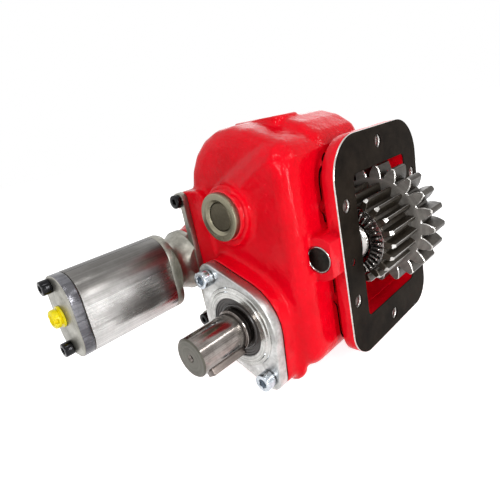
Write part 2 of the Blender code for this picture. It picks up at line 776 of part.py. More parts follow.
def rear_block():
    """Case round the gear train, flat on the side next to the flange."""
    stations = edge_stations(REAR_BLOCK_FRONT, REAR_EDGE_ROUND, 1, 2)
    stations += edge_stations(REAR_BLOCK_BACK, REAR_EDGE_ROUND, -1, 2)
    return loft([
        (y, keep_left_of(belt_outline(rear_block_circles(), grow), CASE_SIDE_X + grow))
        for y, grow in stations])


def axle_boss():
    """Boss of the input axle: round in front, wider at its root and merged into the flange."""
    sizes = [(AXLE_BOSS_FACE, -0.0015), (AXLE_BOSS_FACE + 0.0015, 0.0), (AXLE_BOSS_FACE + 0.018, 0.0012),
             (AXLE_BOSS_FACE + 0.030, 0.006), (-CLUSTER_SPACE_HALF, 0.012)]
    return loft([(y, flat_sided_circle(INPUT, AXLE_BOSS_RADIUS + grow, -FIT)) for y, grow in sizes])


def top_pad():
    outline = rounded_rectangle(
        TOP_PAD_X - TOP_PAD_LENGTH / 2, TOP_PAD_X + TOP_PAD_LENGTH / 2,
        TOP_PAD_Y - TOP_PAD_WIDTH / 2, TOP_PAD_Y + TOP_PAD_WIDTH / 2, (TOP_PAD_CORNER,) * 4)
    pad = prism(outline, TOP_PAD_LEVEL - WALL, TOP_PAD_LEVEL)
    swap = Matrix(((1, 0, 0, 0), (0, 0, 1, 0), (0, 1, 0, 0), (0, 0, 0, 1)))
    bmesh.ops.transform(pad, verts=pad.verts, matrix=swap)
    return pad


def pump_support():
    """Neck of the casting behind the pump, with pads for the pump's three ears."""
    neck_radius = PUMP_PILOT_RADIUS + PUMP_CASE_NECK_WALL
    neck = loft([
        (PUMP_SEAT, circle_points(PUMP, neck_radius, 24)),
        (FRONT_FACE + FILLET, circle_points(PUMP, neck_radius, 24)),
        (REAR_BLOCK_FRONT - 0.016, circle_points(PUMP, neck_radius + 0.010, 24)),
        (REAR_BLOCK_FRONT + FILLET, circle_points(PUMP, GEAR_SPACE, 24)),
    ])
    far_ear = pump_flange_places()[2]
    far_pad = belt_outline([
        (far_ear.x, far_ear.z, PUMP_EAR_RADIUS), (PUMP.x, PUMP.z, neck_radius - 0.002)])
    back = FRONT_FACE + 2.2 * FILLET
    return [prism(pump_pad_outline(), PUMP_SEAT, back), prism(far_pad, PUMP_SEAT, back), neck]


def casting_blocks():
    """Outer forms of the casting, each overlapping its neighbours."""
    rear_boss = prism(
        flat_sided_circle(INPUT, AXLE_BOSS_RADIUS, -FLANGE_THICKNESS / 2),
        CLUSTER_SPACE_HALF, AXLE_REAR_FACE)
    blind = INTERMEDIATE_AXLE_RADIUS + AXLE_SUPPORT_WALL
    return [
        rear_block(), upper_lobe_block(),
        rounded_belt(cluster_case_circles(), CLUSTER_CASE_FRONT, CLUSTER_CASE_BACK,
                     0.0, REAR_EDGE_ROUND),
        prism_along_x(flange_outline(), -FLANGE_THICKNESS, 0.0),
        axle_boss(), rear_boss, *pump_support(), top_pad(),
        flared_belt(cover_circles(), COVER_SEAT, FRONT_FACE, FILLET),
        flared_belt([(INTERMEDIATE.x, INTERMEDIATE.z, RING_BOSS_RADIUS),
                     (INTERMEDIATE.x - 0.004, INTERMEDIATE.z - 0.004, RING_BOSS_RADIUS)],
                    RING_BOSS_FACE, FRONT_FACE + 2 * FILLET, FILLET),
        rod(INTERMEDIATE, blind, 0.0, REAR_AXLE_BOSS_END, 24, 0.002),
        rod(PUMP, blind, 0.0, REAR_AXLE_BOSS_END, 24, 0.002),
    ]


def front_space():
    """Space behind the front wall, cut off short of the boss that carries the input axle."""
    limit = INPUT.x - AXLE_BOSS_RADIUS - WALL
    stages = [
        (FRONT_FACE + WALL, 0.050, 0.018), (FRONT_FACE + 2.4 * WALL, 0.053, 0.040),
        (FRONT_FACE + 4 * WALL, 0.053, 0.047), (REAR_BLOCK_FRONT + WALL / 2, 0.053, 0.047),
        (REAR_BLOCK_FRONT + WALL / 2 + 0.002, 0.050, 0.046), (TRAIN_GEAR_FRONT - WALL, 0.050, 0.046),
    ]
    return loft([
        (y, keep_left_of(belt_outline([
            (OUTPUT.x, OUTPUT.z, low), (INTERMEDIATE.x, INTERMEDIATE.z, high)], 0.0, (10, 10)), limit))
        for y, low, high in stages])


def casting_hollows():
    """Core of the casting: the train's space, the front space and the opening to the gearbox."""
    train_back = TRAIN_GEAR_FRONT + TRAIN_GEAR_WIDTH + GEAR_CLEARANCE
    half = CLUSTER_SPACE_HALF
    pinion_space = DRIVE_MODULE * (PINION_TEETH + 2) / 2 + GEAR_CLEARANCE / 2
    return [
        rounded_belt(gear_space_circles(GEAR_SPACE), REAR_BLOCK_FRONT + WALL, train_back),
        front_space(),
        prism(flat_sided_circle(INPUT, pinion_space, -FLANGE_THICKNESS), -half, half),
        prism_along_x(opening_outline(), -CLUSTER_CASE_DEPTH / 2, CUT_MARGIN),
    ]


def inner_bosses():
    support = INTERMEDIATE_AXLE_RADIUS + AXLE_SUPPORT_WALL
    return [
        rod(OUTPUT, FRONT_BEARING_OUTER + BEARING_BOSS_WALL, FRONT_FACE + WALL / 2,
            FRONT_BEARING_FACE + FRONT_BEARING_WIDTH + WALL, 24),
        rod(OUTPUT, REAR_BEARING_OUTER + BEARING_BOSS_WALL, REAR_BEARING_FRONT,
            TRAIN_GEAR_FRONT + TRAIN_GEAR_WIDTH + 2 * GEAR_CLEARANCE, 24),
        rod(INTERMEDIATE, support, FRONT_FACE + WALL / 2, AXLE_SUPPORT_END, 24),
    ]


def ring_space():
    """Round space for the large gear of the input cluster."""
    outline = flat_sided_circle(INPUT, RING_TIP + GEAR_CLEARANCE, -FLANGE_THICKNESS, 36)
    return prism(outline, RING_FACE - GEAR_CLEARANCE, CLUSTER_SPACE_HALF)


def thrust_bosses():
    """Inner ends of the axle bosses, against which the cluster's thrust parts run."""
    overlap = WALL / 2
    outline = flat_sided_circle(INPUT, THRUST_OUTER_RADIUS, -FIT, 28)
    return [
        prism(outline, -CLUSTER_SPACE_HALF - overlap, FRONT_THRUST_FACE - FIT),
        prism(outline, REAR_THRUST_FACE + FIT, CLUSTER_SPACE_HALF + overlap),
    ]


def bearing_bores():
    """Bores for the bearings, the axles, the ring plug and the pump's pilot."""
    front_shoulder = FRONT_BEARING_FACE + FRONT_BEARING_WIDTH + FIT
    rear_end = REAR_BEARING_FRONT + REAR_BEARING_WIDTH + FIT
    seat_step = BEARING_RING * 0.8
    axle_bore = INTERMEDIATE_AXLE_RADIUS + FIT
    return [
        stepped_bore(OUTPUT, [
            (FRONT_BEARING_OUTER + FIT, COVER_SEAT - CUT_MARGIN),
            (FRONT_BEARING_OUTER - seat_step, front_shoulder),
        ], front_shoulder + 2 * WALL),
        rod(OUTPUT, REAR_BEARING_OUTER + FIT, REAR_BEARING_FRONT - CUT_MARGIN, rear_end, 24),
        rod(INPUT, AXLE_RADIUS + FIT, AXLE_BOSS_FACE - CUT_MARGIN, AXLE_REAR_FACE + CUT_MARGIN),
        stepped_bore(INTERMEDIATE, [
            (RING_PLUG_THREAD_RADIUS + FIT, RING_BOSS_FACE - CUT_MARGIN),
            (axle_bore, ring_plug_end() + FIT),
        ], REAR_AXLE_BOSS_END - WALL / 2),
        rod(PUMP, PUMP_PILOT_RADIUS + FIT, PUMP_SEAT - CUT_MARGIN, REAR_BLOCK_FRONT + 2 * WALL, 24),
        rod(PUMP, PUMP_HUB_JOURNAL + PUMP_BUSH_WALL + FIT, -0.001, REAR_AXLE_BOSS_END - WALL / 2),
    ]


def ring_plug_end():
    return RING_PLUG_FACE + RING_PLUG_HEAD + RING_PLUG_THREAD


def casting_screw_holes():
    holes = [screw_hole(place, COVER_SEAT, COVER_SCREW_DEPTH, BOLT_M10) for place in cover_bolt_places()]
    holes += [screw_hole(place, PUMP_SEAT, PUMP_SCREW_DEPTH, BOLT_M8) for place in pump_flange_places()]
    holes += [tool(axis_on_x(y, z, FLANGE_HOLE_RADIUS, -2 * FLANGE_THICKNESS, CUT_MARGIN, 10))
              for y, z in flange_hole_places()]
    holes.append(tool(axis_on_x(
        -FLANGE_SIDE_HOLE_Y, DOWEL_Z, DOWEL_RADIUS, -FLANGE_THICKNESS * 0.8, CUT_MARGIN, 8)))
    return holes


def make_gearcase(materials):
    case = add_object("gearcase", front_block(), materials["red_paint"])
    join_to(case, *[tool(shape) for shape in casting_blocks()])
    cut_from(case, *[tool(shape) for shape in casting_hollows()])
    join_to(case, *[tool(shape) for shape in inner_bosses()])
    cut_from(case, tool(ring_space()))
    join_to(case, *[tool(shape) for shape in thrust_bosses()])
    cut_from(case, *[tool(shape) for shape in bearing_bores()], *casting_screw_holes())


def make_mounting_gasket(materials):
    start = FIT
    end = FIT + GASKET_THICKNESS
    gasket = add_object(
        "mounting_gasket", prism_along_x(flange_outline(FIT), start, end), materials["gasket"])
    cutters = [tool(prism_along_x(opening_outline(), start - CUT_MARGIN, end + CUT_MARGIN))]
    cutters += [tool(axis_on_x(y, z, FLANGE_HOLE_RADIUS + FIT, start - CUT_MARGIN, end + CUT_MARGIN, 10))
                for y, z in flange_hole_places()]
    cutters.append(tool(axis_on_x(
        -FLANGE_SIDE_HOLE_Y, DOWEL_Z, DOWEL_RADIUS + FIT, start - CUT_MARGIN, end + CUT_MARGIN, 8)))
    cut_from(gasket, *cutters)


# Input cluster on its axle

def make_input_axle(materials):
    add_object(
        "input_axle",
        rod(INPUT, AXLE_RADIUS, AXLE_BOSS_FACE + FIT, AXLE_REAR_FACE - FIT, 28, AXLE_CHAMFER),
        materials["dark_steel"])


def make_input_sleeve(materials):
    add_object(
        "input_bearing_sleeve",
        tube(INPUT, AXLE_RADIUS + FIT, SLEEVE_RADIUS, FRONT_THRUST_FACE, REAR_THRUST_FACE),
        materials["bright_steel"])


def make_input_cluster(materials):
    """Pinion and the large gear that meshes in the gearbox, in one piece bored for the rollers."""
    cluster = add_object(
        "input_gear_cluster",
        gear_body(INPUT, DRIVE_MODULE, PINION_TEETH, PINION_PHASE, PINION_FRONT,
                  RING_FACE + RING_WIDTH / 2),
        materials["gear_steel"])
    ring = gear_body(INPUT, RING_MODULE, RING_TEETH, RING_PHASE, RING_FACE, CLUSTER_BACK)
    join_to(cluster, tool(ring))
    bore = rod(INPUT, CLUSTER_BORE, PINION_FRONT - CUT_MARGIN, CLUSTER_BACK + CUT_MARGIN, 32)
    cut_from(cluster, tool(bore))
    set_origin(cluster, INPUT)


def fluted_ring(place, inner, outer, count, flute, y_low, y_high):
    """Ring of rollers in their cage: each roller stands proud of the cage inside and outside."""
    step = 2 * math.pi / count
    shape = bmesh.new()
    outlines = []
    for radius, sign in ((outer, -1), (inner, 1)):
        low = radius + sign * flute
        outlines.append([
            place.polar(size, step * i + offset * step)
            for i in range(count)
            for offset, size in ((-0.34, low), (-0.2, radius), (0.2, radius), (0.34, low))])
    rings = [[[shape.verts.new((point.x, y, point.z)) for point in outline] for outline in outlines]
             for y in (y_low, y_high)]
    total = 4 * count
    for i in range(total):
        j = (i + 1) % total
        (front_out, front_in), (back_out, back_in) = rings
        for near, far in ((front_out, back_out), (front_in, back_in),
                          (front_out, front_in), (back_out, back_in)):
            shape.faces.new((near[i], near[j], far[j], far[i]))
    return shape


def make_input_rollers(materials):
    shape = fluted_ring(
        INPUT, SLEEVE_RADIUS + FIT, CLUSTER_BORE - FIT, RADIAL_ROLLERS, ROLLER_PROUD,
        PINION_FRONT + 2 * FIT, CLUSTER_BACK - 2 * FIT)
    set_origin(add_object("input_needle_rollers", shape, materials["bright_steel"]), INPUT)


def make_thrust_parts(materials):
    """Washers at both ends of the cluster and a flat cage of needles in front of the pinion."""
    starts = {
        "thrust_washer_front": PINION_FRONT - THRUST_STEP,
        "thrust_washer_rear": CLUSTER_BACK + FIT,
    }
    for name, start in starts.items():
        washer = tube(INPUT, THRUST_INNER_RADIUS, THRUST_OUTER_RADIUS, start,
                      start + THRUST_WASHER_THICKNESS)
        set_origin(add_object(name, washer, materials["bright_steel"]), INPUT)
    back = PINION_FRONT - THRUST_STEP - FIT
    set_origin(add_object(
        "thrust_needle_cage", needle_disc(FRONT_THRUST_FACE, back), materials["bright_steel"]), INPUT)


def needle_disc(front, back):
    """Flat ring whose radial needles stand proud of the cage on both sides."""
    step = 2 * math.pi / THRUST_NEEDLES
    sink = THRUST_NEEDLE_RADIUS - THRUST_CAGE_THICKNESS / 2
    shape = bmesh.new()
    loops = []
    for i in range(THRUST_NEEDLES):
        for offset, depth in ((-0.32, sink), (-0.2, 0.0), (0.2, 0.0), (0.32, sink)):
            angle = step * (i + offset)
            inner = INPUT.polar(THRUST_INNER_RADIUS, angle)
            outer = INPUT.polar(THRUST_OUTER_RADIUS, angle)
            loops.append([shape.verts.new(point) for point in (
                (inner.x, front + depth, inner.z), (outer.x, front + depth, outer.z),
                (outer.x, back - depth, outer.z), (inner.x, back - depth, inner.z))])
    for near, far in zip(loops, loops[1:] + loops[:1]):
        for i in range(4):
            j = (i + 1) % 4
            shape.faces.new((near[i], near[j], far[j], far[i]))
    return shape


# Output shaft line

def make_output_shaft(materials):
    r = SHAFT_RADIUS
    gear_end = OUTPUT_GEAR_FRONT + OUTPUT_GEAR_WIDTH
    bearing_back = FRONT_BEARING_FACE + FRONT_BEARING_WIDTH
    profile = [
        (0.0, SHAFT_END), (r - SHAFT_CHAMFER, SHAFT_END), (r, SHAFT_END + SHAFT_CHAMFER),
        (r, bearing_back + FIT), (SHAFT_SHOULDER_RADIUS, bearing_back + FIT),
        (SHAFT_SHOULDER_RADIUS, OUTPUT_GEAR_FRONT - FIT),
        (SHAFT_GEAR_SEAT_RADIUS, OUTPUT_GEAR_FRONT - FIT),
        (SHAFT_GEAR_SEAT_RADIUS, gear_end + FIT),
        (SHAFT_GEAR_SEAT_RADIUS - 0.0012, gear_end + FIT),
        (SHAFT_GEAR_SEAT_RADIUS - 0.0012, gear_end + 3 * FIT + CIRCLIP_THICKNESS),
        (SHAFT_GEAR_SEAT_RADIUS, gear_end + 3 * FIT + CIRCLIP_THICKNESS),
        (SHAFT_GEAR_SEAT_RADIUS, REAR_BEARING_FRONT - FIT),
        (SHAFT_REAR_RADIUS, REAR_BEARING_FRONT - FIT),
        (SHAFT_REAR_RADIUS, SHAFT_REAR_END - FIT), (0.0, SHAFT_REAR_END - FIT),
    ]
    shaft = add_object("output_shaft", turned(profile, OUTPUT, 28), materials["bright_steel"])
    centre_drill = turned(
        [(0.0, SHAFT_END + 0.005), (0.0021, SHAFT_END + 0.004), (0.0021, SHAFT_END + 0.002),
         (0.0036, SHAFT_END - CUT_MARGIN), (0.0, SHAFT_END - CUT_MARGIN)], OUTPUT, 12)
    cut_from(shaft, tool(centre_drill), tool(key_shape(FIT, CUT_MARGIN)))
    set_origin(shaft, OUTPUT)


def key_shape(margin, extra_height):
    """Feather key with round ends, or the cutter of its seat when a margin is given."""
    low = SHAFT_END + KEY_GAP_TO_END
    high = low + KEY_LENGTH
    half = KEY_WIDTH / 2
    outline = arc_points(high - half, 0.0, half + margin, -math.pi / 2, math.pi / 2)
    outline += [(low - margin, half + margin), (low - margin, -half - margin)]
    key = bmesh.new()
    bottom = SHAFT_RADIUS - KEY_SEAT_DEPTH - (margin if margin else 0.0)
    top = bottom + KEY_HEIGHT + extra_height
    loops = [[key.verts.new((z, y, level)) for y, z in outline] for level in (bottom, top)]
    for i in range(len(outline)):
        j = (i + 1) % len(outline)
        key.faces.new((loops[0][i], loops[0][j], loops[1][j], loops[1][i]))
    key.faces.new(loops[0])
    key.faces.new(loops[1])
    turn = Matrix.Rotation(math.pi / 2 - KEY_DIRECTION, 4, "Y")
    bmesh.ops.transform(
        key, verts=key.verts, matrix=Matrix.Translation((OUTPUT.x, 0, OUTPUT.z)) @ turn)
    return key


def make_key(materials):
    key = add_object("output_key", key_shape(0.0, 0.0), materials["bright_steel"])
    set_origin(key, OUTPUT)


def make_output_gear(materials):
    y_low = OUTPUT_GEAR_FRONT
    y_high = OUTPUT_GEAR_FRONT + OUTPUT_GEAR_WIDTH
    gear = add_object(
        "output_gear",
        gear_body(OUTPUT, DRIVE_MODULE, DRIVEN_TEETH, OUTPUT_PHASE, y_low, y_high, 2),
        materials["gear_steel"])
    web_inner = SHAFT_GEAR_SEAT_RADIUS + 0.007
    web_outer = DRIVEN_TIP - 2 * DRIVE_MODULE - 0.006
    recess = 0.004
    cut_from(
        gear, tool(rod(OUTPUT, SHAFT_GEAR_SEAT_RADIUS + FIT, y_low - CUT_MARGIN, y_high + CUT_MARGIN, 24)),
        tool(tube(OUTPUT, web_inner, web_outer, y_low - CUT_MARGIN, y_low + recess, 18)),
        tool(tube(OUTPUT, web_inner, web_outer, y_high - recess, y_high + CUT_MARGIN, 18)))
    set_origin(gear, OUTPUT)


def make_gear_circlip(materials):
    y_low = OUTPUT_GEAR_FRONT + OUTPUT_GEAR_WIDTH + 2 * FIT
    clip = add_object(
        "output_gear_circlip",
        tube(OUTPUT, SHAFT_GEAR_SEAT_RADIUS - 0.0012 + FIT, SHAFT_GEAR_SEAT_RADIUS + 0.003,
             y_low, y_low + CIRCLIP_THICKNESS, 20), materials["dark_steel"])
    gap = prism(
        [(OUTPUT.x - 0.0025, OUTPUT.z), (OUTPUT.x + 0.0025, OUTPUT.z),
         (OUTPUT.x + 0.0025, OUTPUT.z + 0.03), (OUTPUT.x - 0.0025, OUTPUT.z + 0.03)],
        y_low - CUT_MARGIN, y_low + CIRCLIP_THICKNESS + CUT_MARGIN)
    cut_from(clip, tool(gap))
    set_origin(clip, OUTPUT)


def make_ball_bearing(name, place, inner, outer, y_low, width, balls, materials):
    """Outer ring, inner ring and ball cage of a deep-groove bearing."""
    y_high = y_low + width
    middle_y = y_low + width / 2
    pitch = (inner + outer) / 2
    ball = (outer - inner) * 0.29
    race = ball + FIT

    def ring_profile(near, far, side):
        groove = arc_points(pitch, middle_y, race, -0.8, 0.8, math.radians(35))
        if side > 0:
            points = [(r, y) for r, y in groove if r > near]
        else:
            points = [(2 * pitch - r, y) for r, y in groove if 2 * pitch - r < near]
        body = [(near, y_high), (far, y_high), (far, y_low), (near, y_low)]
        return body + points

    outer_ring = add_object(
        f"{name}_outer_ring",
        turned(ring_profile(outer - BEARING_RING + 0.0012, outer, 1), place),
        materials["bright_steel"])
    inner_ring = add_object(
        f"{name}_inner_ring",
        turned(ring_profile(inner + BEARING_RING - 0.0012, inner, -1), place),
        materials["bright_steel"])
    cage = add_object(
        f"{name}_ball_cage",
        tube(place, pitch - 0.0011, pitch + 0.0011, middle_y - width * 0.25, middle_y + width * 0.25, 16),
        materials["bronze"])
    spheres = []
    for i in range(balls):
        centre = place.polar(pitch, 2 * math.pi * i / balls)
        sphere = bmesh.new()
        bmesh.ops.create_uvsphere(sphere, u_segments=6, v_segments=4, radius=ball)
        bmesh.ops.translate(sphere, verts=sphere.verts, vec=(centre.x, middle_y, centre.z))
        spheres.append(tool(sphere))
    join_to(cage, *spheres)
    for piece in (outer_ring, inner_ring, cage):
        set_origin(piece, place)


def make_output_bearings(materials):
    make_ball_bearing(
        "front_bearing", OUTPUT, SHAFT_RADIUS + FIT, FRONT_BEARING_OUTER,
        FRONT_BEARING_FACE, FRONT_BEARING_WIDTH, BEARING_BALLS, materials)
    make_ball_bearing(
        "rear_bearing", OUTPUT, SHAFT_REAR_RADIUS + FIT, REAR_BEARING_OUTER,
        REAR_BEARING_FRONT, REAR_BEARING_WIDTH, BEARING_BALLS, materials)


def make_output_cover(materials):
    """Two-bolt bearing cover with a turned hub, a spigot and the pocket of the shaft seal."""
    back = COVER_SEAT - COVER_GASKET - 2 * FIT
    front = back - COVER_THICKNESS
    cover = add_object(
        "output_cover",
        rounded_belt(cover_circles(), front, back, 0.0008), materials["cast_aluminium"])
    hub_front = front - COVER_HUB_RISE
    hub = turned([
        (0.0, hub_front), (COVER_HUB_RADIUS - 0.0045, hub_front),
        (COVER_HUB_RADIUS - 0.0035, hub_front + 0.001), (COVER_HUB_RADIUS, hub_front + 0.001),
        (COVER_HUB_RADIUS, back - 0.001), (0.0, back - 0.001),
    ], OUTPUT, 26)
    spigot = rod(OUTPUT, FRONT_BEARING_OUTER - FIT / 2, back - 0.003, FRONT_BEARING_FACE - FIT, 26)
    join_to(cover, tool(hub), tool(spigot))
    seal_back = seal_front() + SEAL_WIDTH + FIT
    holes = [tool(stepped_bore(OUTPUT, [
        (SEAL_RADIUS + FIT, hub_front - CUT_MARGIN), (SHAFT_RADIUS + 0.0035, seal_back),
        (FRONT_BEARING_OUTER - BEARING_RING, seal_back + 0.004),
    ], FRONT_BEARING_FACE + CUT_MARGIN))]
    holes += [tool(rod(place, BOLT_M10[2] + HOLE_CLEARANCE, hub_front - CUT_MARGIN, back + CUT_MARGIN, 12))
              for place in cover_bolt_places()]
    cut_from(cover, *holes)


def seal_front():
    return COVER_SEAT - COVER_GASKET - 2 * FIT - COVER_THICKNESS - COVER_HUB_RISE + 0.0015


def make_cover_gasket(materials):
    back = COVER_SEAT - FIT
    gasket = add_object(
        "output_cover_gasket", prism(belt_outline(cover_circles(), -0.0003), back - COVER_GASKET, back),
        materials["gasket"])
    holes = [tool(rod(OUTPUT, FRONT_BEARING_OUTER + FIT, back - CUT_MARGIN, back + CUT_MARGIN, 28))]
    holes += [tool(rod(place, BOLT_M10[2] + HOLE_CLEARANCE, back - CUT_MARGIN, back + CUT_MARGIN, 12))
              for place in cover_bolt_places()]
    cut_from(gasket, *holes)


def make_oil_seal(materials):
    front = seal_front()
    back = front + SEAL_WIDTH
    lip = SHAFT_RADIUS + FIT
    profile = [
        (SEAL_RADIUS, front), (SEAL_RADIUS, back), (lip + 0.003, back),
        (lip, front + 0.004), (lip, front + 0.003), (lip + 0.003, front + 0.0015),
        (SEAL_RADIUS - 0.003, front + 0.0015),
    ]
    add_object("output_oil_seal", turned(profile, OUTPUT, 24), materials["seal_rubber"])


def make_cover_screws(materials):
    seat = COVER_SEAT - COVER_GASKET - 3 * FIT - COVER_THICKNESS
    length = COVER_THICKNESS + COVER_SCREW_DEPTH
    for name, place in zip(("upper", "lower"), cover_bolt_places()):
        cap_screw(f"cover_screw_{name}", place, seat, length, BOLT_M10, materials["zinc"])


# Intermediate gear

def make_intermediate(materials):
    y_low = TRAIN_GEAR_FRONT
    y_high = TRAIN_GEAR_FRONT + TRAIN_GEAR_WIDTH
    bush_outer = INTERMEDIATE_AXLE_RADIUS + INTERMEDIATE_BUSH_WALL
    gear = add_object(
        "intermediate_gear",
        gear_body(INTERMEDIATE, DRIVE_MODULE, DRIVEN_TEETH, INTERMEDIATE_PHASE, y_low, y_high, 2),
        materials["gear_steel"])
    cut_from(gear, tool(rod(
        INTERMEDIATE, bush_outer + FIT, y_low - CUT_MARGIN, y_high + CUT_MARGIN)))
    set_origin(gear, INTERMEDIATE)
    bush = add_object(
        "intermediate_bush",
        tube(INTERMEDIATE, INTERMEDIATE_AXLE_RADIUS + FIT, bush_outer, y_low + FIT, y_high - FIT),
        materials["bronze"])
    set_origin(bush, INTERMEDIATE)
    add_object(
        "intermediate_spacer",
        tube(INTERMEDIATE, INTERMEDIATE_AXLE_RADIUS + FIT, INTERMEDIATE_AXLE_RADIUS + 0.006,
             AXLE_SUPPORT_END + FIT, y_low - FIT, 24), materials["bright_steel"])
    add_object(
        "intermediate_axle",
        rod(INTERMEDIATE, INTERMEDIATE_AXLE_RADIUS, RING_PLUG_FACE + INTERMEDIATE_AXLE_RECESS,
            REAR_AXLE_BOSS_END - WALL / 2 - FIT, 24, 0.0006), materials["olive_zinc"])


def make_ring_plug(materials):
    """Ring nut screwed into its boss, with the end of its threaded length in view."""
    head_back = RING_PLUG_FACE + RING_PLUG_HEAD
    edge = 0.001
    profile = [
        (RING_PLUG_BORE, RING_PLUG_FACE + edge), (RING_PLUG_BORE + edge, RING_PLUG_FACE),
        (RING_PLUG_RADIUS - edge, RING_PLUG_FACE), (RING_PLUG_RADIUS, RING_PLUG_FACE + edge),
        (RING_PLUG_RADIUS, head_back), (RING_PLUG_THREAD_RADIUS, head_back),
        (RING_PLUG_THREAD_RADIUS, ring_plug_end()), (RING_PLUG_BORE, ring_plug_end()),
    ]
    add_object("ring_plug", turned(profile, INTERMEDIATE, 28), materials["olive_zinc"])


# Pump drive and pump

def make_pump_drive_gear(materials):
    """Gear with a long hub that takes the pump's shaft at one end and runs in a bush at the other."""
    y_low = TRAIN_GEAR_FRONT
    y_high = TRAIN_GEAR_FRONT + TRAIN_GEAR_WIDTH
    journal_end = REAR_AXLE_BOSS_END - WALL / 2 - FIT
    gear = add_object(
        "pump_drive_gear",
        gear_body(PUMP, DRIVE_MODULE, DRIVEN_TEETH, PUMP_PHASE, y_low, y_high, 2),
        materials["gear_steel"])
    hub = turned([
        (0.0, PUMP_HUB_FRONT), (PUMP_HUB_RADIUS - 0.001, PUMP_HUB_FRONT),
        (PUMP_HUB_RADIUS, PUMP_HUB_FRONT + 0.001), (PUMP_HUB_RADIUS, y_high - 0.001),
        (PUMP_HUB_JOURNAL, y_high - 0.001), (PUMP_HUB_JOURNAL, journal_end), (0.0, journal_end),
    ], PUMP, 24)
    join_to(gear, tool(hub))
    socket = rod(PUMP, PUMP_SHAFT_RADIUS + FIT, PUMP_HUB_FRONT - CUT_MARGIN, PUMP_SHAFT_FRONT + FIT, 24)
    cut_from(gear, tool(socket))
    set_origin(gear, PUMP)
    add_object(
        "pump_drive_bush",
        tube(PUMP, PUMP_HUB_JOURNAL + FIT, PUMP_HUB_JOURNAL + PUMP_BUSH_WALL,
             y_high + FIT, journal_end, 24), materials["bronze"])


def pump_outline(grow=0.0):
    """Oval section of the pump: round over the top and bottom and flat on its sides."""
    half = PUMP_HALF_WIDTH + grow
    low = PUMP_BOTTOM_ROUND + grow
    high = PUMP_TOP_ROUND + grow
    middle = PUMP.x + PUMP_BODY_SHIFT
    return rounded_rectangle(
        middle - half, middle + half, PUMP.z - PUMP_BOTTOM - grow, PUMP.z + PUMP_TOP + grow,
        (low, low, high, high))


def pump_flange_shape():
    """Three-eared flange: two slender ears joined by a straight side, and one ear opposite."""
    back = PUMP_SEAT - FIT
    front = back - PUMP_FLANGE_THICKNESS
    top, bottom, far = pump_flange_places()
    right = top.x + PUMP_EAR_RADIUS
    opposite = belt_outline([(far.x, far.z, PUMP_EAR_RADIUS), (PUMP.x, PUMP.z, PUMP_FLANGE_DISC)])
    side_bar = rounded_rectangle(right - PUMP_EAR_BAR, right, bottom.z, top.z, (0.0005,) * 4)
    ears = [tool(rod(ear, PUMP_EAR_RADIUS, front, back, 16)) for ear in (top, bottom)]
    return join_to(tool(prism(opposite, front, back)), tool(prism(side_bar, front, back)), *ears)


def make_pump_front_cover(materials):
    """Mounting flange, neck and front plate of the pump, cast in one piece."""
    cover = pump_flange_shape()
    cover.name = "pump_front_cover"
    cover.data.name = "pump_front_cover"
    cover.data.materials.append(materials["cast_aluminium"])
    flange_front = PUMP_SEAT - FIT - PUMP_FLANGE_THICKNESS
    neck = turned([
        (0.0, PUMP_PLATE_BACK - 0.002), (PUMP_NECK_RADIUS + 0.002, PUMP_PLATE_BACK - 0.002),
        (PUMP_NECK_RADIUS, PUMP_PLATE_BACK + 0.002), (PUMP_NECK_RADIUS, flange_front - 0.002),
        (PUMP_NECK_RADIUS + 0.001, flange_front), (PUMP_NECK_RADIUS + 0.001, flange_front + 0.002),
        (PUMP_PILOT_RADIUS, flange_front + 0.002),
        (PUMP_PILOT_RADIUS, PUMP_SEAT + PUMP_PILOT_LENGTH), (0.0, PUMP_SEAT + PUMP_PILOT_LENGTH),
    ], PUMP, 22)
    plate = prism(pump_outline(), PUMP_BODY_FRONT, PUMP_PLATE_BACK)
    join_to(cover, tool(neck), tool(plate))
    holes = [tool(stepped_bore(PUMP, [
        (PUMP_SHAFT_RADIUS + FIT, PUMP_BODY_FRONT - CUT_MARGIN),
        (PUMP_SEAL_RADIUS + FIT, PUMP_SEAL_FRONT - FIT),
    ], PUMP_SEAT + PUMP_PILOT_LENGTH + CUT_MARGIN, 20))]
    holes += [tool(rod(place, BOLT_M8[2] + HOLE_CLEARANCE, flange_front - CUT_MARGIN,
                       PUMP_SEAT + CUT_MARGIN, 12)) for place in pump_flange_places()]
    holes += [tool(rod(place, BOLT_M8[2] + FIT, PUMP_BODY_FRONT - CUT_MARGIN,
                       PUMP_PLATE_BACK - 0.0015, 12)) for place in pump_through_places()]
    cut_from(cover, *holes)


def make_pump_seal(materials):
    back = PUMP_SEAL_FRONT + PUMP_SEAL_WIDTH
    lip = PUMP_SHAFT_RADIUS + FIT
    profile = [
        (PUMP_SEAL_RADIUS, PUMP_SEAL_FRONT), (PUMP_SEAL_RADIUS, back), (lip + 0.002, back),
        (lip, back - 0.0015), (lip, PUMP_SEAL_FRONT + 0.002), (lip + 0.002, PUMP_SEAL_FRONT),
    ]
    add_object("pump_shaft_seal", turned(profile, PUMP, 20), materials["seal_rubber"])


def make_pump_body(materials):
    """Extruded body with the figure-of-eight chamber of the two gears and the through-bolt holes."""
    low = PUMP_BODY_BACK + FIT
    high = PUMP_BODY_FRONT - FIT
    body = add_object("pump_body", prism(pump_outline(), low, high), materials["extruded_aluminium"])
    chamber = PUMP_GEAR_TIP + 2 * FIT
    cutters = [
        tool(rod(PUMP, chamber, low - CUT_MARGIN, high + CUT_MARGIN, 24)),
        tool(rod(PUMP_SECOND, chamber, low - CUT_MARGIN, high + CUT_MARGIN, 24)),
    ]
    cutters += [tool(rod(place, BOLT_M8[2] + FIT, low - CUT_MARGIN, high + CUT_MARGIN, 12))
                for place in pump_through_places()]
    cut_from(body, *cutters)


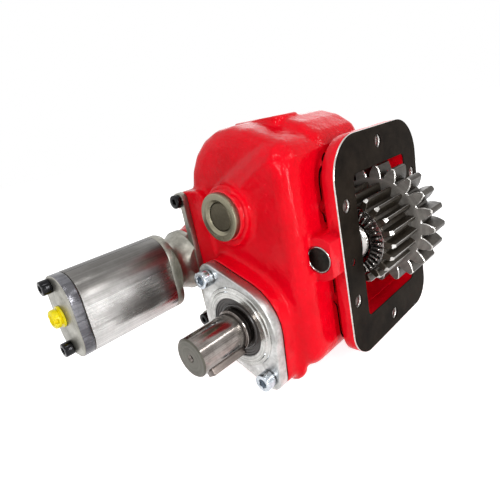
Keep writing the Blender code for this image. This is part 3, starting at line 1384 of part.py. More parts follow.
def figure_of_eight(name, y_low, y_high, material):
    """Bearing block that fills the pump chamber round both shafts."""
    outer = PUMP_GEAR_TIP + FIT
    block = add_object(name, rod(PUMP, outer, y_low, y_high, 20), material)
    join_to(block, tool(rod(PUMP_SECOND, outer, y_low, y_high, 20)))
    bore = PUMP_SHAFT_RADIUS + FIT
    cut_from(block, *[tool(rod(place, bore, y_low - CUT_MARGIN, y_high + CUT_MARGIN, 16))
                      for place in (PUMP, PUMP_SECOND)])


def make_pump_internals(materials):
    y_low = PUMP_GEAR_FRONT
    y_high = PUMP_GEAR_FRONT + PUMP_GEAR_WIDTH
    figure_of_eight("pump_bearing_block_rear", PUMP_BODY_BACK + 2 * FIT, y_low - FIT, materials["bronze"])
    figure_of_eight("pump_bearing_block_front", y_high + FIT, PUMP_BODY_FRONT - 2 * FIT,
                    materials["bronze"])
    driver = add_object(
        "pump_drive_shaft", rod(PUMP, PUMP_SHAFT_RADIUS, PUMP_SHAFT_BACK, PUMP_SHAFT_FRONT, 18, 0.0006),
        materials["bright_steel"])
    join_to(driver, tool(gear_body(
        PUMP, PUMP_GEAR_MODULE, PUMP_GEAR_TEETH, PUMP_GEAR_PHASE, y_low, y_high, 2)))
    set_origin(driver, PUMP)
    follower = add_object(
        "pump_idler_gear",
        rod(PUMP_SECOND, PUMP_SHAFT_RADIUS, PUMP_SHAFT_BACK, y_high + PUMP_BUSH_LENGTH, 18, 0.0006),
        materials["bright_steel"])
    join_to(follower, tool(gear_body(
        PUMP_SECOND, PUMP_GEAR_MODULE, PUMP_GEAR_TEETH, PUMP_SECOND_PHASE, y_low, y_high, 2)))
    set_origin(follower, PUMP_SECOND)


def make_pump_rear_cover(materials):
    low = PUMP_REAR_COVER_BACK
    high = PUMP_BODY_BACK
    edge = 0.0008
    cover = add_object("pump_rear_cover", loft([
        (low, pump_outline(-edge)), (low + edge, pump_outline()), (high, pump_outline())]),
        materials["cast_aluminium"])
    port = port_place()
    cut_from(
        cover, *[tool(rod(place, BOLT_M8[2] + HOLE_CLEARANCE, low - CUT_MARGIN, high + CUT_MARGIN, 12))
                 for place in pump_through_places()],
        tool(rod(port, PORT_PLUG_RADIUS * 0.8 + FIT, low - CUT_MARGIN, high - 0.002, 16)))


def port_place():
    return Place(PUMP.x + PORT_PLUG_SIDE, PUMP.z - PORT_PLUG_DROP)


def make_pump_screws(materials):
    seat = PUMP_REAR_COVER_BACK - FIT
    length = PUMP_PLATE_BACK - 0.003 - PUMP_REAR_COVER_BACK
    for name, place in zip(("upper", "lower"), pump_through_places()):
        cap_screw(f"pump_through_screw_{name}", place, seat, length, BOLT_M8, materials["black_bolt"])
    seat = PUMP_SEAT - 2 * FIT - PUMP_FLANGE_THICKNESS
    for name, place in zip(("upper", "lower", "inner"), pump_flange_places()):
        cap_screw(f"pump_flange_screw_{name}", place, seat, PUMP_FLANGE_THICKNESS + PUMP_SCREW_DEPTH,
                  BOLT_M8_LOW, materials["black_bolt"])


def make_port_plug(materials):
    """Flanged plastic plug with a domed, notched grip."""
    seat = PUMP_REAR_COVER_BACK - FIT
    r = PORT_PLUG_RADIUS
    place = port_place()
    plug = add_object("port_plug", turned([
        (0.0, seat - 0.0085), (r * 0.45, seat - 0.0082), (r * 0.75, seat - 0.0072), (r, seat - 0.005),
        (r, seat - 0.0035), (r * 0.8, seat - 0.003), (r * 0.8, seat - 0.002), (r * 1.15, seat - 0.0016),
        (r * 1.15, seat), (r * 0.8, seat), (r * 0.8, seat + 0.007), (0.0, seat + 0.007),
    ], place, 16), materials["yellow_plastic"])
    notches = []
    for side in (-1, 1):
        notches.append(tool(prism([
            (place.x + side * r * 0.72 - r * 0.4 * (side < 0), place.z - r * 0.25),
            (place.x + side * r * 0.72 + r * 0.4 * (side > 0), place.z - r * 0.25),
            (place.x + side * r * 0.72 + r * 0.4 * (side > 0), place.z + r * 0.25),
            (place.x + side * r * 0.72 - r * 0.4 * (side < 0), place.z + r * 0.25),
        ], seat - 0.010, seat - 0.0042)))
    cut_from(plug, *notches)


def main():
    clear_scene()
    materials = make_materials()
    make_gearcase(materials)
    make_mounting_gasket(materials)
    make_input_axle(materials)
    make_input_sleeve(materials)
    make_input_cluster(materials)
    make_input_rollers(materials)
    make_thrust_parts(materials)
    make_output_shaft(materials)
    make_key(materials)
    make_output_gear(materials)
    make_gear_circlip(materials)
    make_output_bearings(materials)
    make_output_cover(materials)
    make_cover_gasket(materials)
    make_oil_seal(materials)
    make_cover_screws(materials)
    make_intermediate(materials)
    make_ring_plug(materials)
    make_pump_drive_gear(materials)
    make_pump_front_cover(materials)
    make_pump_seal(materials)
    make_pump_body(materials)
    make_pump_internals(materials)
    make_pump_rear_cover(materials)
    make_pump_screws(materials)
    make_port_plug(materials)


main()
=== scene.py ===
"""Power take off unit with its gear pump: finished pieces, light and camera round its fixed solids."""

import logging
import math
from dataclasses import dataclass, field
from enum import Enum
from typing import Callable, Sequence

import bmesh
import bpy
from mathutils import Matrix, Vector


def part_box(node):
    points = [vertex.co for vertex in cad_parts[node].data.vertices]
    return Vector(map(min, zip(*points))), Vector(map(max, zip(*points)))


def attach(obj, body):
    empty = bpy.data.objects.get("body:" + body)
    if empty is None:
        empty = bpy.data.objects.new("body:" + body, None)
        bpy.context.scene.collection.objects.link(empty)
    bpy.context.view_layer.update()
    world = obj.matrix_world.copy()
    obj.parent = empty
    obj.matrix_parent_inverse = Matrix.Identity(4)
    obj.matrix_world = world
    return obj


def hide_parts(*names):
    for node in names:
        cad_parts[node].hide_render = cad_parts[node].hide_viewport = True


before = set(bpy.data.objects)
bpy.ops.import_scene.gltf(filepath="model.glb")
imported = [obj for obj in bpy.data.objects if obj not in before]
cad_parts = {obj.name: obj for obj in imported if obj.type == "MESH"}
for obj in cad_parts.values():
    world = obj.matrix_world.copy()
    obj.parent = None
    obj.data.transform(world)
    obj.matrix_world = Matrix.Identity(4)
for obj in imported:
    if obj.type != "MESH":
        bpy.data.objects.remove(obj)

log = logging.getLogger("power_take_off")
logging.basicConfig(level=logging.INFO, format="%(message)s")

Pair = tuple[float, float]
Profile = Sequence[Pair]
Triple = tuple[float, float, float]
Circle = Triple
Colour = Triple
Socket = bpy.types.NodeSocket
BMesh = bmesh.types.BMesh
BMFace = bmesh.types.BMFace
BMVert = bmesh.types.BMVert
FIT = 0.0003
LEAD = 0.0012
CUT_MARGIN = 0.002
WELD = 1e-6
CUT_WELD = 2e-6
CRISP_ANGLE = 60.0
FLAT_ANGLE = math.radians(0.3)
EMPTY_SLOTS = (None,) * 4
CROWN_SLACK = 1e-5
UNIT = (0.0, 1.0)


# Places

@dataclass(frozen=True)
class Spot:
    """Axis parallel to Y, given by its x and z in metres."""

    x: float
    z: float

    def moved(self, dx: float, dz: float) -> "Spot":
        """Returns the axis that lies dx and dz away from this one."""
        return Spot(self.x + dx, self.z + dz)

    def polar(self, reach: float, degrees: float) -> "Spot":
        """Returns the axis at this reach and direction from this one."""
        angle = math.radians(degrees)
        return self.moved(reach * math.cos(angle), reach * math.sin(angle))

    def circle(self, radius: float) -> Circle:
        """Returns the circle of this radius about the axis."""
        return self.x, self.z, radius

    @property
    def offset(self) -> Triple:
        """Way from the Y axis to this one."""
        return self.x, 0.0, self.z

    def reach(self, point: Vector) -> float:
        """Returns a point's distance from the axis."""
        return math.hypot(point.x - self.x, point.z - self.z)


INPUT = Spot(-0.014, 0.005)
OUTPUT = Spot(-0.0804729, -0.0494074)
INTERMEDIATE = Spot(-0.0878613, 0.0488556)
PUMP = Spot(-0.1685637, -0.0005989)
PUMP_SECOND = Spot(-0.1685637, -0.0207489)


# Shapes

class Cut(Enum):
    """How one shape works on another."""

    AWAY = "DIFFERENCE"
    JOIN = "UNION"


class Solver(Enum):
    """Which way a cut is worked out: exact for small shapes, manifold for a large closed one."""

    EXACT = "EXACT"
    MANIFOLD = "MANIFOLD"


def linked(name: str, data: bpy.types.ID) -> bpy.types.Object:
    """Returns a new object of the scene that shows this data."""
    thing = bpy.data.objects.new(name, data)
    bpy.context.scene.collection.objects.link(thing)
    return thing


def spin_about_y(mesh: BMesh, parts: list, steps: int, angle: float = math.tau,
                 **how: bool) -> None:
    """Spins parts of a mesh round the Y axis, in steps, by an angle."""
    bmesh.ops.spin(mesh, geom=parts, cent=(0, 0, 0), axis=(0, 1, 0), dvec=(0, 0, 0), angle=angle,
                   steps=steps, **how)


class Shape:
    """A closed mesh that is worked step by step until it is handed over as a piece."""

    def __init__(self, mesh: BMesh | None = None) -> None:
        """Starts from a mesh, or from nothing."""
        self.mesh = mesh or bmesh.new()

    @classmethod
    def turned(cls, profile: Profile, axis: Spot, segments: int = 96, ring: bool = False) -> "Shape":
        """Turns a profile of (radius, y) points round an axis.

        Args:
            profile: points from axis to axis, or round the section of a ring.
            axis: where the axis stands.
            segments: steps of the full turn.
            ring: whether the profile closes on itself.

        Returns:
            The turned shape.
        """
        shape = cls()
        mesh = shape.mesh
        corners = [mesh.verts.new((radius, y, 0.0)) for radius, y in profile]
        lines = [mesh.edges.new(pair) for pair in zip(corners, corners[1:])]
        if ring:
            lines.append(mesh.edges.new((corners[-1], corners[0])))
        spin_about_y(mesh, corners + lines, segments, use_merge=True, use_duplicate=False)
        bmesh.ops.remove_doubles(mesh, verts=mesh.verts, dist=WELD)
        shape.drop_loose()
        bmesh.ops.recalc_face_normals(mesh, faces=mesh.faces)
        bmesh.ops.translate(mesh, verts=mesh.verts, vec=axis.offset)
        return shape

    @classmethod
    def belt(cls, circles: Sequence[Circle], y_low: float, y_high: float, segments: int = 96,
             narrowing: float = 0.0) -> "Shape":
        """Makes the block whose outline is a belt drawn tight round circles.

        Args:
            circles: (x, z, radius) of each.
            y_low: lower end along Y.
            y_high: higher end along Y.
            segments: sides of each circle.
            narrowing: how much smaller the circles are at the higher end.

        Returns:
            The block, with flat ends.
        """
        shape = cls()
        mesh = shape.mesh
        upright = Matrix.Rotation(math.pi / 2, 4, "X")
        for x, z, radius in circles:
            place = Matrix.Translation((x, (y_low + y_high) / 2, z)) @ upright
            bmesh.ops.create_cone(mesh, cap_ends=True, cap_tris=False, segments=segments,
                                  radius1=radius - narrowing, radius2=radius, depth=y_high - y_low,
                                  matrix=place)
        if len(circles) > 1:
            shape.hull()
        return shape

    @classmethod
    def box(cls, low: Sequence[float], high: Sequence[float]) -> "Shape":
        """Makes a plain box between two corners, to be worked on or to cut with."""
        shape = cls()
        size = [b - a for a, b in zip(low, high)]
        centre = [(a + b) / 2 for a, b in zip(low, high)]
        bmesh.ops.create_cube(shape.mesh, size=1.0)
        bmesh.ops.scale(shape.mesh, verts=shape.mesh.verts, vec=size)
        bmesh.ops.translate(shape.mesh, verts=shape.mesh.verts, vec=centre)
        return shape

    @classmethod
    def of_node(cls, node: str) -> "Shape":
        """Returns a merged copy of one of the fixed solids."""
        shape = cls()
        shape.mesh.from_mesh(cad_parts[node].data)
        bmesh.ops.remove_doubles(shape.mesh, verts=shape.mesh.verts, dist=WELD)
        return shape

    def hull(self) -> "Shape":
        """Draws a tight skin round the points so far and joins its flat faces."""
        mesh = self.mesh
        bmesh.ops.delete(mesh, geom=list(mesh.edges) + list(mesh.faces), context="EDGES_FACES")
        bmesh.ops.convex_hull(mesh, input=mesh.verts, use_existing_faces=False)
        self.drop_loose()
        bmesh.ops.dissolve_limit(mesh, angle_limit=FLAT_ANGLE, verts=mesh.verts, edges=mesh.edges,
                                 use_dissolve_boundaries=False)
        bmesh.ops.recalc_face_normals(mesh, faces=mesh.faces)
        return self

    def drop_loose(self) -> None:
        """Removes edges and points that carry no face."""
        mesh = self.mesh
        bmesh.ops.delete(mesh, geom=[e for e in mesh.edges if not e.link_faces], context="EDGES")
        bmesh.ops.delete(mesh, geom=[v for v in mesh.verts if not v.link_faces], context="VERTS")

    def along_x(self) -> "Shape":
        """Turns a block that was drawn in (y, z) as (x, z) so that its length lies along X."""
        swap = Matrix(((0, 1, 0, 0), (1, 0, 0, 0), (0, 0, 1, 0), (0, 0, 0, 1)))
        bmesh.ops.transform(self.mesh, matrix=swap, verts=self.mesh.verts)
        bmesh.ops.recalc_face_normals(self.mesh, faces=self.mesh.faces)
        return self

    def moved(self, place: Matrix) -> "Shape":
        """Moves or turns the shape by a matrix."""
        bmesh.ops.transform(self.mesh, matrix=place, verts=self.mesh.verts)
        return self

    def bevelled(self, width: float, segments: int = 2, sharper_than: float = 35.0, material: int = -1,
                 where: Callable[[Vector], bool] | None = None) -> "Shape":
        """Rounds the edges that are sharper than an angle.

        Args:
            width: how far the round reaches from the edge.
            segments: faces across the round.
            sharper_than: angle in degrees between the faces of an edge.
            material: slot of the new faces, or -1 to keep that of their neighbours.
            where: tells from an edge's middle whether it is rounded.

        Returns:
            The same shape.
        """
        limit = math.radians(sharper_than)
        edges = [edge for edge in self.mesh.edges
                 if len(edge.link_faces) == 2 and edge.calc_face_angle(0.0) > limit
                 and (where is None or where((edge.verts[0].co + edge.verts[1].co) / 2))]
        bmesh.ops.bevel(self.mesh, geom=edges, offset=width, offset_type="OFFSET", segments=segments,
                        profile=0.5, affect="EDGES", material=material, clamp_overlap=True)
        return self

    def worked(self, others: Sequence["Shape"], cut: Cut, solver: Solver = Solver.EXACT) -> "Shape":
        """Joins other shapes to this one, or cuts them away from it.

        Args:
            others: the shapes to work with, which are used up.
            cut: whether they are joined or cut away.
            solver: the way it is worked out.

        Returns:
            The same shape.
        """
        body = self.as_object("body")
        tools = [other.as_object("tool") for other in others]
        for tool in tools:
            step = body.modifiers.new("work", "BOOLEAN")
            step.object = tool
            step.operation = cut.value
            step.solver = solver.value
        self.mesh = evaluated(body)
        for thing in [body, *tools]:
            bpy.data.objects.remove(thing)
        bmesh.ops.remove_doubles(self.mesh, verts=self.mesh.verts, dist=CUT_WELD)
        bmesh.ops.dissolve_degenerate(self.mesh, edges=self.mesh.edges, dist=WELD)
        return self

    def carved(self, *others: "Shape") -> "Shape":
        """Cuts other shapes away from this one."""
        return self.worked(others, Cut.AWAY)

    def joined(self, *others: "Shape") -> "Shape":
        """Joins other shapes to this one."""
        return self.worked(others, Cut.JOIN)

    def marked(self, slot: int, where: Callable[[BMFace], bool] | None = None) -> "Shape":
        """Puts faces in one material slot, which a cut hands on to the faces that it leaves.

        Args:
            slot: number of the slot.
            where: tells of a face whether it is marked; without it all are.

        Returns:
            The same shape.
        """
        for face in self.mesh.faces:
            if where is None or where(face):
                face.material_index = slot
        return self

    def as_object(self, name: str, materials: Sequence[bpy.types.Material | None] = EMPTY_SLOTS
                  ) -> bpy.types.Object:
        """Turns the shape into an object, which uses the shape up.

        Args:
            name: the object's name.
            materials: what its slots hold, nothing while it is only worked on.

        Returns:
            The object.
        """
        data = bpy.data.meshes.new(name)
        self.mesh.to_mesh(data)
        self.mesh.free()
        for material in materials:
            data.materials.append(material)
        return linked(name, data)


def evaluated(thing: bpy.types.Object) -> BMesh:
    """Returns an object's mesh as its modifiers leave it."""
    bpy.context.view_layer.update()
    result = bmesh.new()
    result.from_mesh(thing.evaluated_get(bpy.context.evaluated_depsgraph_get()).to_mesh())
    return result


def rod(axis: Spot, radius: float, y_low: float, y_high: float, segments: int = 64) -> Shape:
    """Makes a plain round bar, mostly to cut with."""
    return Shape.belt([axis.circle(radius)], y_low, y_high, segments)


def tapped_hole(axis: Spot, radius: float, y_low: float, y_high: float, lead: float = 0.0006) -> Shape:
    """Makes the cutter of a hole with a small lead at its lower end."""
    return Shape.turned([(0.0, y_low - CUT_MARGIN), (radius + lead, y_low - CUT_MARGIN),
                         (radius + lead, y_low), (radius, y_low + lead), (radius, y_high),
                         (0.0, y_high)], axis, 48)


# Toothing

@dataclass(frozen=True)
class Toothing:
    """Teeth of a spur gear: module in metres, number, backlash and the direction of one tooth."""

    module: float
    count: int
    phase: float
    backlash: float = 0.00025
    pressure: float = math.radians(20)
    flank_points: int = 9
    tip_round: float = 0.0005
    fillet_steps: tuple[float, ...] = (0.0, 0.3, 0.6, 0.85)
    fillet_width: float = 0.62
    fillet_hollow: float = 2.2
    above_base: float = 1.0005

    @property
    def tip(self) -> float:
        """Radius over the tips."""
        return self.module * (self.count + 2) / 2

    @property
    def root(self) -> float:
        """Radius between the teeth."""
        return self.module * (self.count - 2.5) / 2

    def one_tooth(self) -> list[Pair]:
        """Returns (radius, angle) points from the middle of one gap to the middle of the next."""
        pitch = self.module * self.count / 2
        base = pitch * math.cos(self.pressure)
        start = max(base, self.root) * self.above_base
        half = math.pi / (2 * self.count) - self.backlash / (2 * pitch)
        offset = half + math.tan(self.pressure) - self.pressure
        side = []
        for i in range(self.flank_points):
            radius = start + (self.tip - self.tip_round - start) * i / (self.flank_points - 1)
            roll = math.sqrt((radius / base) ** 2 - 1)
            side.append((radius, offset - (roll - math.atan(roll))))
        foot = side[0][1]
        gap = math.pi / self.count
        fillet = [(self.root + (start - self.root) * share ** self.fillet_hollow,
                   foot + (gap - foot) * self.fillet_width * (1 - share) ** 2)
                  for share in self.fillet_steps]
        land = side[-1][1] - self.tip_round / self.tip
        crown = [(self.tip - self.tip_round * 0.3, side[-1][1] - 0.35 * self.tip_round / self.tip),
                 (self.tip, land), (self.tip, land / 3)]
        rising = [(self.root, gap)] + fillet + side + crown
        return [(r, -a) for r, a in rising] + [(r, a) for r, a in reversed(rising)]

    def disc(self, axis: Spot, y_low: float, y_high: float, chamfer: float) -> Shape:
        """Makes the toothed disc.

        Args:
            axis: where it turns.
            y_low: lower face along Y.
            y_high: higher face along Y.
            chamfer: how far the ends of the teeth are broken; those faces take slot 1.

        Returns:
            The closed disc.
        """
        shape = Shape()
        mesh = shape.mesh
        points = [mesh.verts.new((r * math.cos(a), y_low + chamfer, r * math.sin(a)))
                  for r, a in self.one_tooth()]
        lines = [mesh.edges.new(pair) for pair in zip(points, points[1:])]
        spin_about_y(mesh, points + lines, self.count, use_duplicate=True)
        bmesh.ops.remove_doubles(mesh, verts=mesh.verts, dist=CUT_WELD)
        face = mesh.faces.new(self.ring_order(mesh))
        length = y_high - y_low - 2 * chamfer
        swept = bmesh.ops.extrude_face_region(mesh, geom=[face], use_keep_orig=True)
        tops = [v for v in swept["geom"] if isinstance(v, BMVert)]
        bmesh.ops.translate(mesh, verts=tops, vec=(0.0, length, 0.0))
        bmesh.ops.recalc_face_normals(mesh, faces=mesh.faces)
        for end in [f for f in mesh.faces if len(f.verts) > 4]:
            rim = bmesh.ops.inset_region(mesh, faces=[end], thickness=chamfer * 0.8, depth=chamfer,
                                         use_even_offset=True)
            for strip in rim["faces"]:
                strip.material_index = 1
        turn = Matrix.Rotation(-self.phase, 4, "Y")
        return shape.moved(Matrix.Translation(axis.offset) @ turn)

    @staticmethod
    def ring_order(mesh: BMesh) -> list[BMVert]:
        """Returns the points of the one closed line in the order in which they follow."""
        mesh.verts.ensure_lookup_table()
        first = mesh.verts[0]
        order = [first]
        edge = first.link_edges[0]
        while True:
            following = edge.other_vert(order[-1])
            if following == first:
                return order
            order.append(following)
            edge = next(e for e in following.link_edges if e != edge)


# Finishes

class Wiring:
    """Node tree of one finish, with short calls that add nodes and join them."""

    def __init__(self, tree: bpy.types.NodeTree) -> None:
        """Takes the tree to work on."""
        self.tree = tree

    def add(self, kind: str, settings: dict[str, object] | None = None,
            **inputs: object) -> bpy.types.Node:
        """Adds a node.

        Args:
            kind: the node's type.
            settings: its plain settings by name.
            **inputs: values or sockets for its inputs, with _ for the blanks in their names.

        Returns:
            The node.
        """
        node = self.tree.nodes.new(kind)
        for name, value in (settings or {}).items():
            setattr(node, name, value)
        self.fill(node, **inputs)
        return node

    def fill(self, node: bpy.types.Node, **inputs: object) -> None:
        """Links or sets a node's inputs by name, with _ for the blanks in their names."""
        for label, value in inputs.items():
            self.put(node.inputs[label.replace("_", " ")], value)

    def put(self, socket: Socket, value: object) -> None:
        """Links a socket to another one, or sets its value."""
        if isinstance(value, Socket):
            self.tree.links.new(value, socket)
        else:
            socket.default_value = value

    def calc(self, operation: str, *terms: object) -> Socket:
        """Works out one sum from sockets and numbers and returns its result."""
        node = self.add("ShaderNodeMath", {"operation": operation})
        for socket, term in zip(node.inputs, terms):
            self.put(socket, term)
        return node.outputs[0]

    def shares(self, first: object, part: float, second: object, rest: float) -> Socket:
        """Returns a part of one value and a part of another, added up."""
        return self.calc("ADD", self.calc("MULTIPLY", first, part), self.calc("MULTIPLY", second, rest))

    def noise(self, vector: object, scale: object, detail: float = 3.0, rough: float = 0.55) -> Socket:
        """Adds a noise and returns its value."""
        return self.add("ShaderNodeTexNoise", Vector=vector, Scale=scale, Detail=detail,
                        Roughness=rough).outputs[0]

    def spread(self, value: object, source: Pair, target: Pair) -> Socket:
        """Maps a value from one range to another, clamped, and returns it."""
        node = self.add("ShaderNodeMapRange", Value=value)
        for socket, number in zip(list(node.inputs)[1:5], (*source, *target)):
            socket.default_value = number
        return node.outputs[0]

    def tint(self, factor: object, first: object, second: object) -> Socket:
        """Mixes two colours by a factor and returns the result."""
        node = self.add("ShaderNodeMix", {"data_type": "RGBA"})
        self.put(node.inputs[0], factor)
        for socket, value in ((node.inputs[6], first), (node.inputs[7], second)):
            self.put(socket, value if isinstance(value, Socket) else (*value, 1.0))
        return node.outputs[2]

    def stretched(self, vector: object, scale: Triple) -> Socket:
        """Returns the coordinates multiplied by a factor for each direction."""
        node = self.add("ShaderNodeMapping", Vector=vector)
        node.inputs["Scale"].default_value = scale
        return node.outputs[0]

    def bump(self, height: object, distance: float, strength: float = 1.0) -> Socket:
        """Adds a bump and returns its normal."""
        node = self.add("ShaderNodeBump", Height=height, Distance=distance, Strength=strength)
        return node.outputs[0]


class Effect(Enum):
    """Shared effects that several finishes place with values of their own."""

    MOTTLE = "surface_mottle"
    CAST_SKIN = "cast_skin"
    # placed by the paint for its painted highlight on outer edges and painted shade in creases
    EDGE_HIGHLIGHT_AND_SHADE = "edge_wear"
    DRAWN_LINES = "drawn_lines"
    TURNED_RINGS = "turned_rings"


class EffectShelf:
    """Builds each shared effect once, as a shader node group, and places it in a finish."""

    def __init__(self) -> None:
        """Builds all the effects."""
        self.groups = {
            Effect.MOTTLE: self.build(Effect.MOTTLE, ("Scale",), self.mottle),
            Effect.CAST_SKIN: self.build(Effect.CAST_SKIN, ("Grain",), self.cast_skin),
            Effect.EDGE_HIGHLIGHT_AND_SHADE: self.build(Effect.EDGE_HIGHLIGHT_AND_SHADE, ("Start", "End"), self.edge_wear),
            Effect.DRAWN_LINES: self.build(Effect.DRAWN_LINES, ("Fineness",), self.drawn_lines),
            Effect.TURNED_RINGS: self.build(Effect.TURNED_RINGS, ("Across", "Up", "Fineness"),
                                            self.turned_rings),
        }

    @staticmethod
    def build(effect: Effect, values: Sequence[str],
              fill: Callable[[Wiring, dict[str, Socket]], Socket]) -> bpy.types.NodeTree:
        """Makes one group with a Vector input, number inputs and one Value output.

        Args:
            effect: which effect it is.
            values: names of its number inputs.
            fill: wires the inside and returns the socket to put out.

        Returns:
            The group's node tree.
        """
        tree = bpy.data.node_groups.new(effect.value, "ShaderNodeTree")
        tree.interface.new_socket("Vector", in_out="INPUT", socket_type="NodeSocketVector")
        for name in values:
            tree.interface.new_socket(name, in_out="INPUT", socket_type="NodeSocketFloat")
        tree.interface.new_socket("Value", in_out="OUTPUT", socket_type="NodeSocketFloat")
        wiring = Wiring(tree)
        entry = wiring.add("NodeGroupInput")
        sockets = {name: entry.outputs[name] for name in ("Vector", *values)}
        leave = wiring.add("NodeGroupOutput")
        tree.links.new(fill(wiring, sockets), leave.inputs["Value"])
        return tree

    @staticmethod
    def mottle(wiring: Wiring, given: dict[str, Socket]) -> Socket:
        """Cloudy patches with smaller ones in them."""
        broad = wiring.noise(given["Vector"], given["Scale"], 2.0)
        small = wiring.noise(given["Vector"], wiring.calc("MULTIPLY", given["Scale"], 5.3), 4.0, 0.65)
        return wiring.spread(wiring.shares(broad, 0.62, small, 0.38), (0.34, 0.66), UNIT)

    @staticmethod
    def cast_skin(wiring: Wiring, given: dict[str, Socket]) -> Socket:
        """Height of a sand-cast skin: soft waves, orange peel and small pits."""
        vector, grain = given["Vector"], given["Grain"]
        peel = wiring.noise(vector, grain, 2.0, 0.5)
        waves = wiring.noise(vector, wiring.calc("MULTIPLY", grain, 0.16), 2.0, 0.5)
        pits = wiring.spread(wiring.noise(vector, wiring.calc("MULTIPLY", grain, 0.55), 3.0, 0.7),
                             (0.62, 0.74), (0.0, -0.6))
        return wiring.calc("ADD", wiring.calc("MULTIPLY", waves, 3.0), wiring.calc("ADD", peel, pits))

    @staticmethod
    def edge_wear(wiring: Wiring, given: dict[str, Socket]) -> Socket:
        """Mask of outer edges for a painted highlight, or of creases for painted shade where Start is
        above End, broken up by noise.
        """
        sharpness = wiring.add("ShaderNodeNewGeometry").outputs["Pointiness"]
        node = wiring.add("ShaderNodeMapRange", Value=sharpness, From_Min=given["Start"],
                          From_Max=given["End"])
        patches = wiring.spread(wiring.noise(given["Vector"], 420.0, 3.0), (0.35, 0.6), (0.45, 1.0))
        return wiring.calc("MULTIPLY", node.outputs[0], patches)

    @staticmethod
    def drawn_lines(wiring: Wiring, given: dict[str, Socket]) -> Socket:
        """Fine and broad lines that run along Y, as on a drawn or ground bar."""
        fine = wiring.stretched(given["Vector"], (1.0, 0.012, 1.0))
        broad = wiring.stretched(given["Vector"], (1.0, 0.05, 1.0))
        hair = wiring.noise(fine, given["Fineness"], 4.0, 0.7)
        bands = wiring.noise(broad, wiring.calc("MULTIPLY", given["Fineness"], 0.14), 3.0, 0.6)
        return wiring.spread(wiring.shares(hair, 0.45, bands, 0.55), (0.36, 0.64), UNIT)

    @staticmethod
    def turned_rings(wiring: Wiring, given: dict[str, Socket]) -> Socket:
        """Rings of a turned or faced surface about an axis along Y."""
        parts = wiring.add("ShaderNodeSeparateXYZ", Vector=given["Vector"])
        across = wiring.calc("SUBTRACT", parts.outputs[0], given["Across"])
        up = wiring.calc("SUBTRACT", parts.outputs[2], given["Up"])
        reach = wiring.calc("SQRT", wiring.calc("ADD", wiring.calc("MULTIPLY", across, across),
                                                wiring.calc("MULTIPLY", up, up)))
        place = wiring.add("ShaderNodeCombineXYZ", X=reach, Y=parts.outputs[1])
        fine = wiring.noise(place.outputs[0], given["Fineness"], 3.0, 0.7)
        broad = wiring.noise(place.outputs[0], wiring.calc("MULTIPLY", given["Fineness"], 0.2), 2.0)
        return wiring.spread(wiring.shares(fine, 0.5, broad, 0.5), (0.35, 0.65), UNIT)

    def place(self, wiring: Wiring, effect: Effect, vector: object, **values: object) -> Socket:
        """Places an effect in a finish with its own values and returns what it puts out."""
        group = {"node_tree": self.groups[effect]}
        return wiring.add("ShaderNodeGroup", group, Vector=vector, **values).outputs["Value"]


@dataclass(frozen=True)
class Finish:
    """What every finish has: a name and two shades between which its colour wanders."""

    name: str
    light: Colour
    dark: Colour

    def start(self) -> tuple[bpy.types.Material, Wiring, bpy.types.Node, Socket]:
        """Opens a material.

        Returns:
            The material, its wiring, its shader and its Object coordinates.
        """
        material = bpy.data.materials.new(self.name)
        material.use_nodes = True
        wiring = Wiring(material.node_tree)
        shader = material.node_tree.nodes["Principled BSDF"]
        coordinates = wiring.add("ShaderNodeTexCoord").outputs["Object"]
        material.diffuse_color = (*self.light, 1.0)
        return material, wiring, shader, coordinates


@dataclass(frozen=True)
class PaintFinish(Finish):
    """Glossy paint on a casting: cloudy colour over a sand-cast skin, with painted shade in its creases
    and a painted highlight on its outer edges.
    """

    gloss: Pair = (0.08, 0.20)
    grain: float = 330.0
    clouds: float = 34.0
    streaks: float = 90.0
    depth: float = 0.00045
    shine: float = 0.09
    # painted shade: colour that the paint's creases take, and the pointiness over which it comes in
    hollow: Colour = (0.20, 0.0, 0.002)
    hollow_range: Pair = (0.485, 0.40)
    # painted highlight: colour that the paint's outer edges take, and the pointiness over which it
    # comes in
    edge: Colour = (0.88, 0.10, 0.11)
    edge_range: Pair = (0.535, 0.615)

    def build(self, shelf: EffectShelf) -> bpy.types.Material:
        """Builds the material with the shelf's effects."""
        material, wiring, shader, place = self.start()
        cloud = shelf.place(wiring, Effect.MOTTLE, place, Scale=self.clouds)
        colour = wiring.tint(cloud, self.dark, self.light)
        # creases are darkened with painted shade and outer edges lightened with a painted highlight
        for tone, (start, end) in ((self.hollow, self.hollow_range), (self.edge, self.edge_range)):
            mask = shelf.place(wiring, Effect.EDGE_HIGHLIGHT_AND_SHADE, place, Start=start, End=end)
            colour = wiring.tint(mask, colour, tone)
        skin = shelf.place(wiring, Effect.CAST_SKIN, place, Grain=self.grain)
        wiring.fill(shader, Base_Color=colour, Normal=wiring.bump(skin, self.depth, 0.8),
                    Roughness=wiring.spread(wiring.noise(place, self.streaks), (0.3, 0.7), self.gloss),
                    Specular_IOR_Level=self.shine)
        return material


class Grain(Enum):
    """How the surface of a metal was made."""

    CAST = "cast"
    DRAWN = "drawn"
    TURNED = "turned"
    PLATED = "plated"


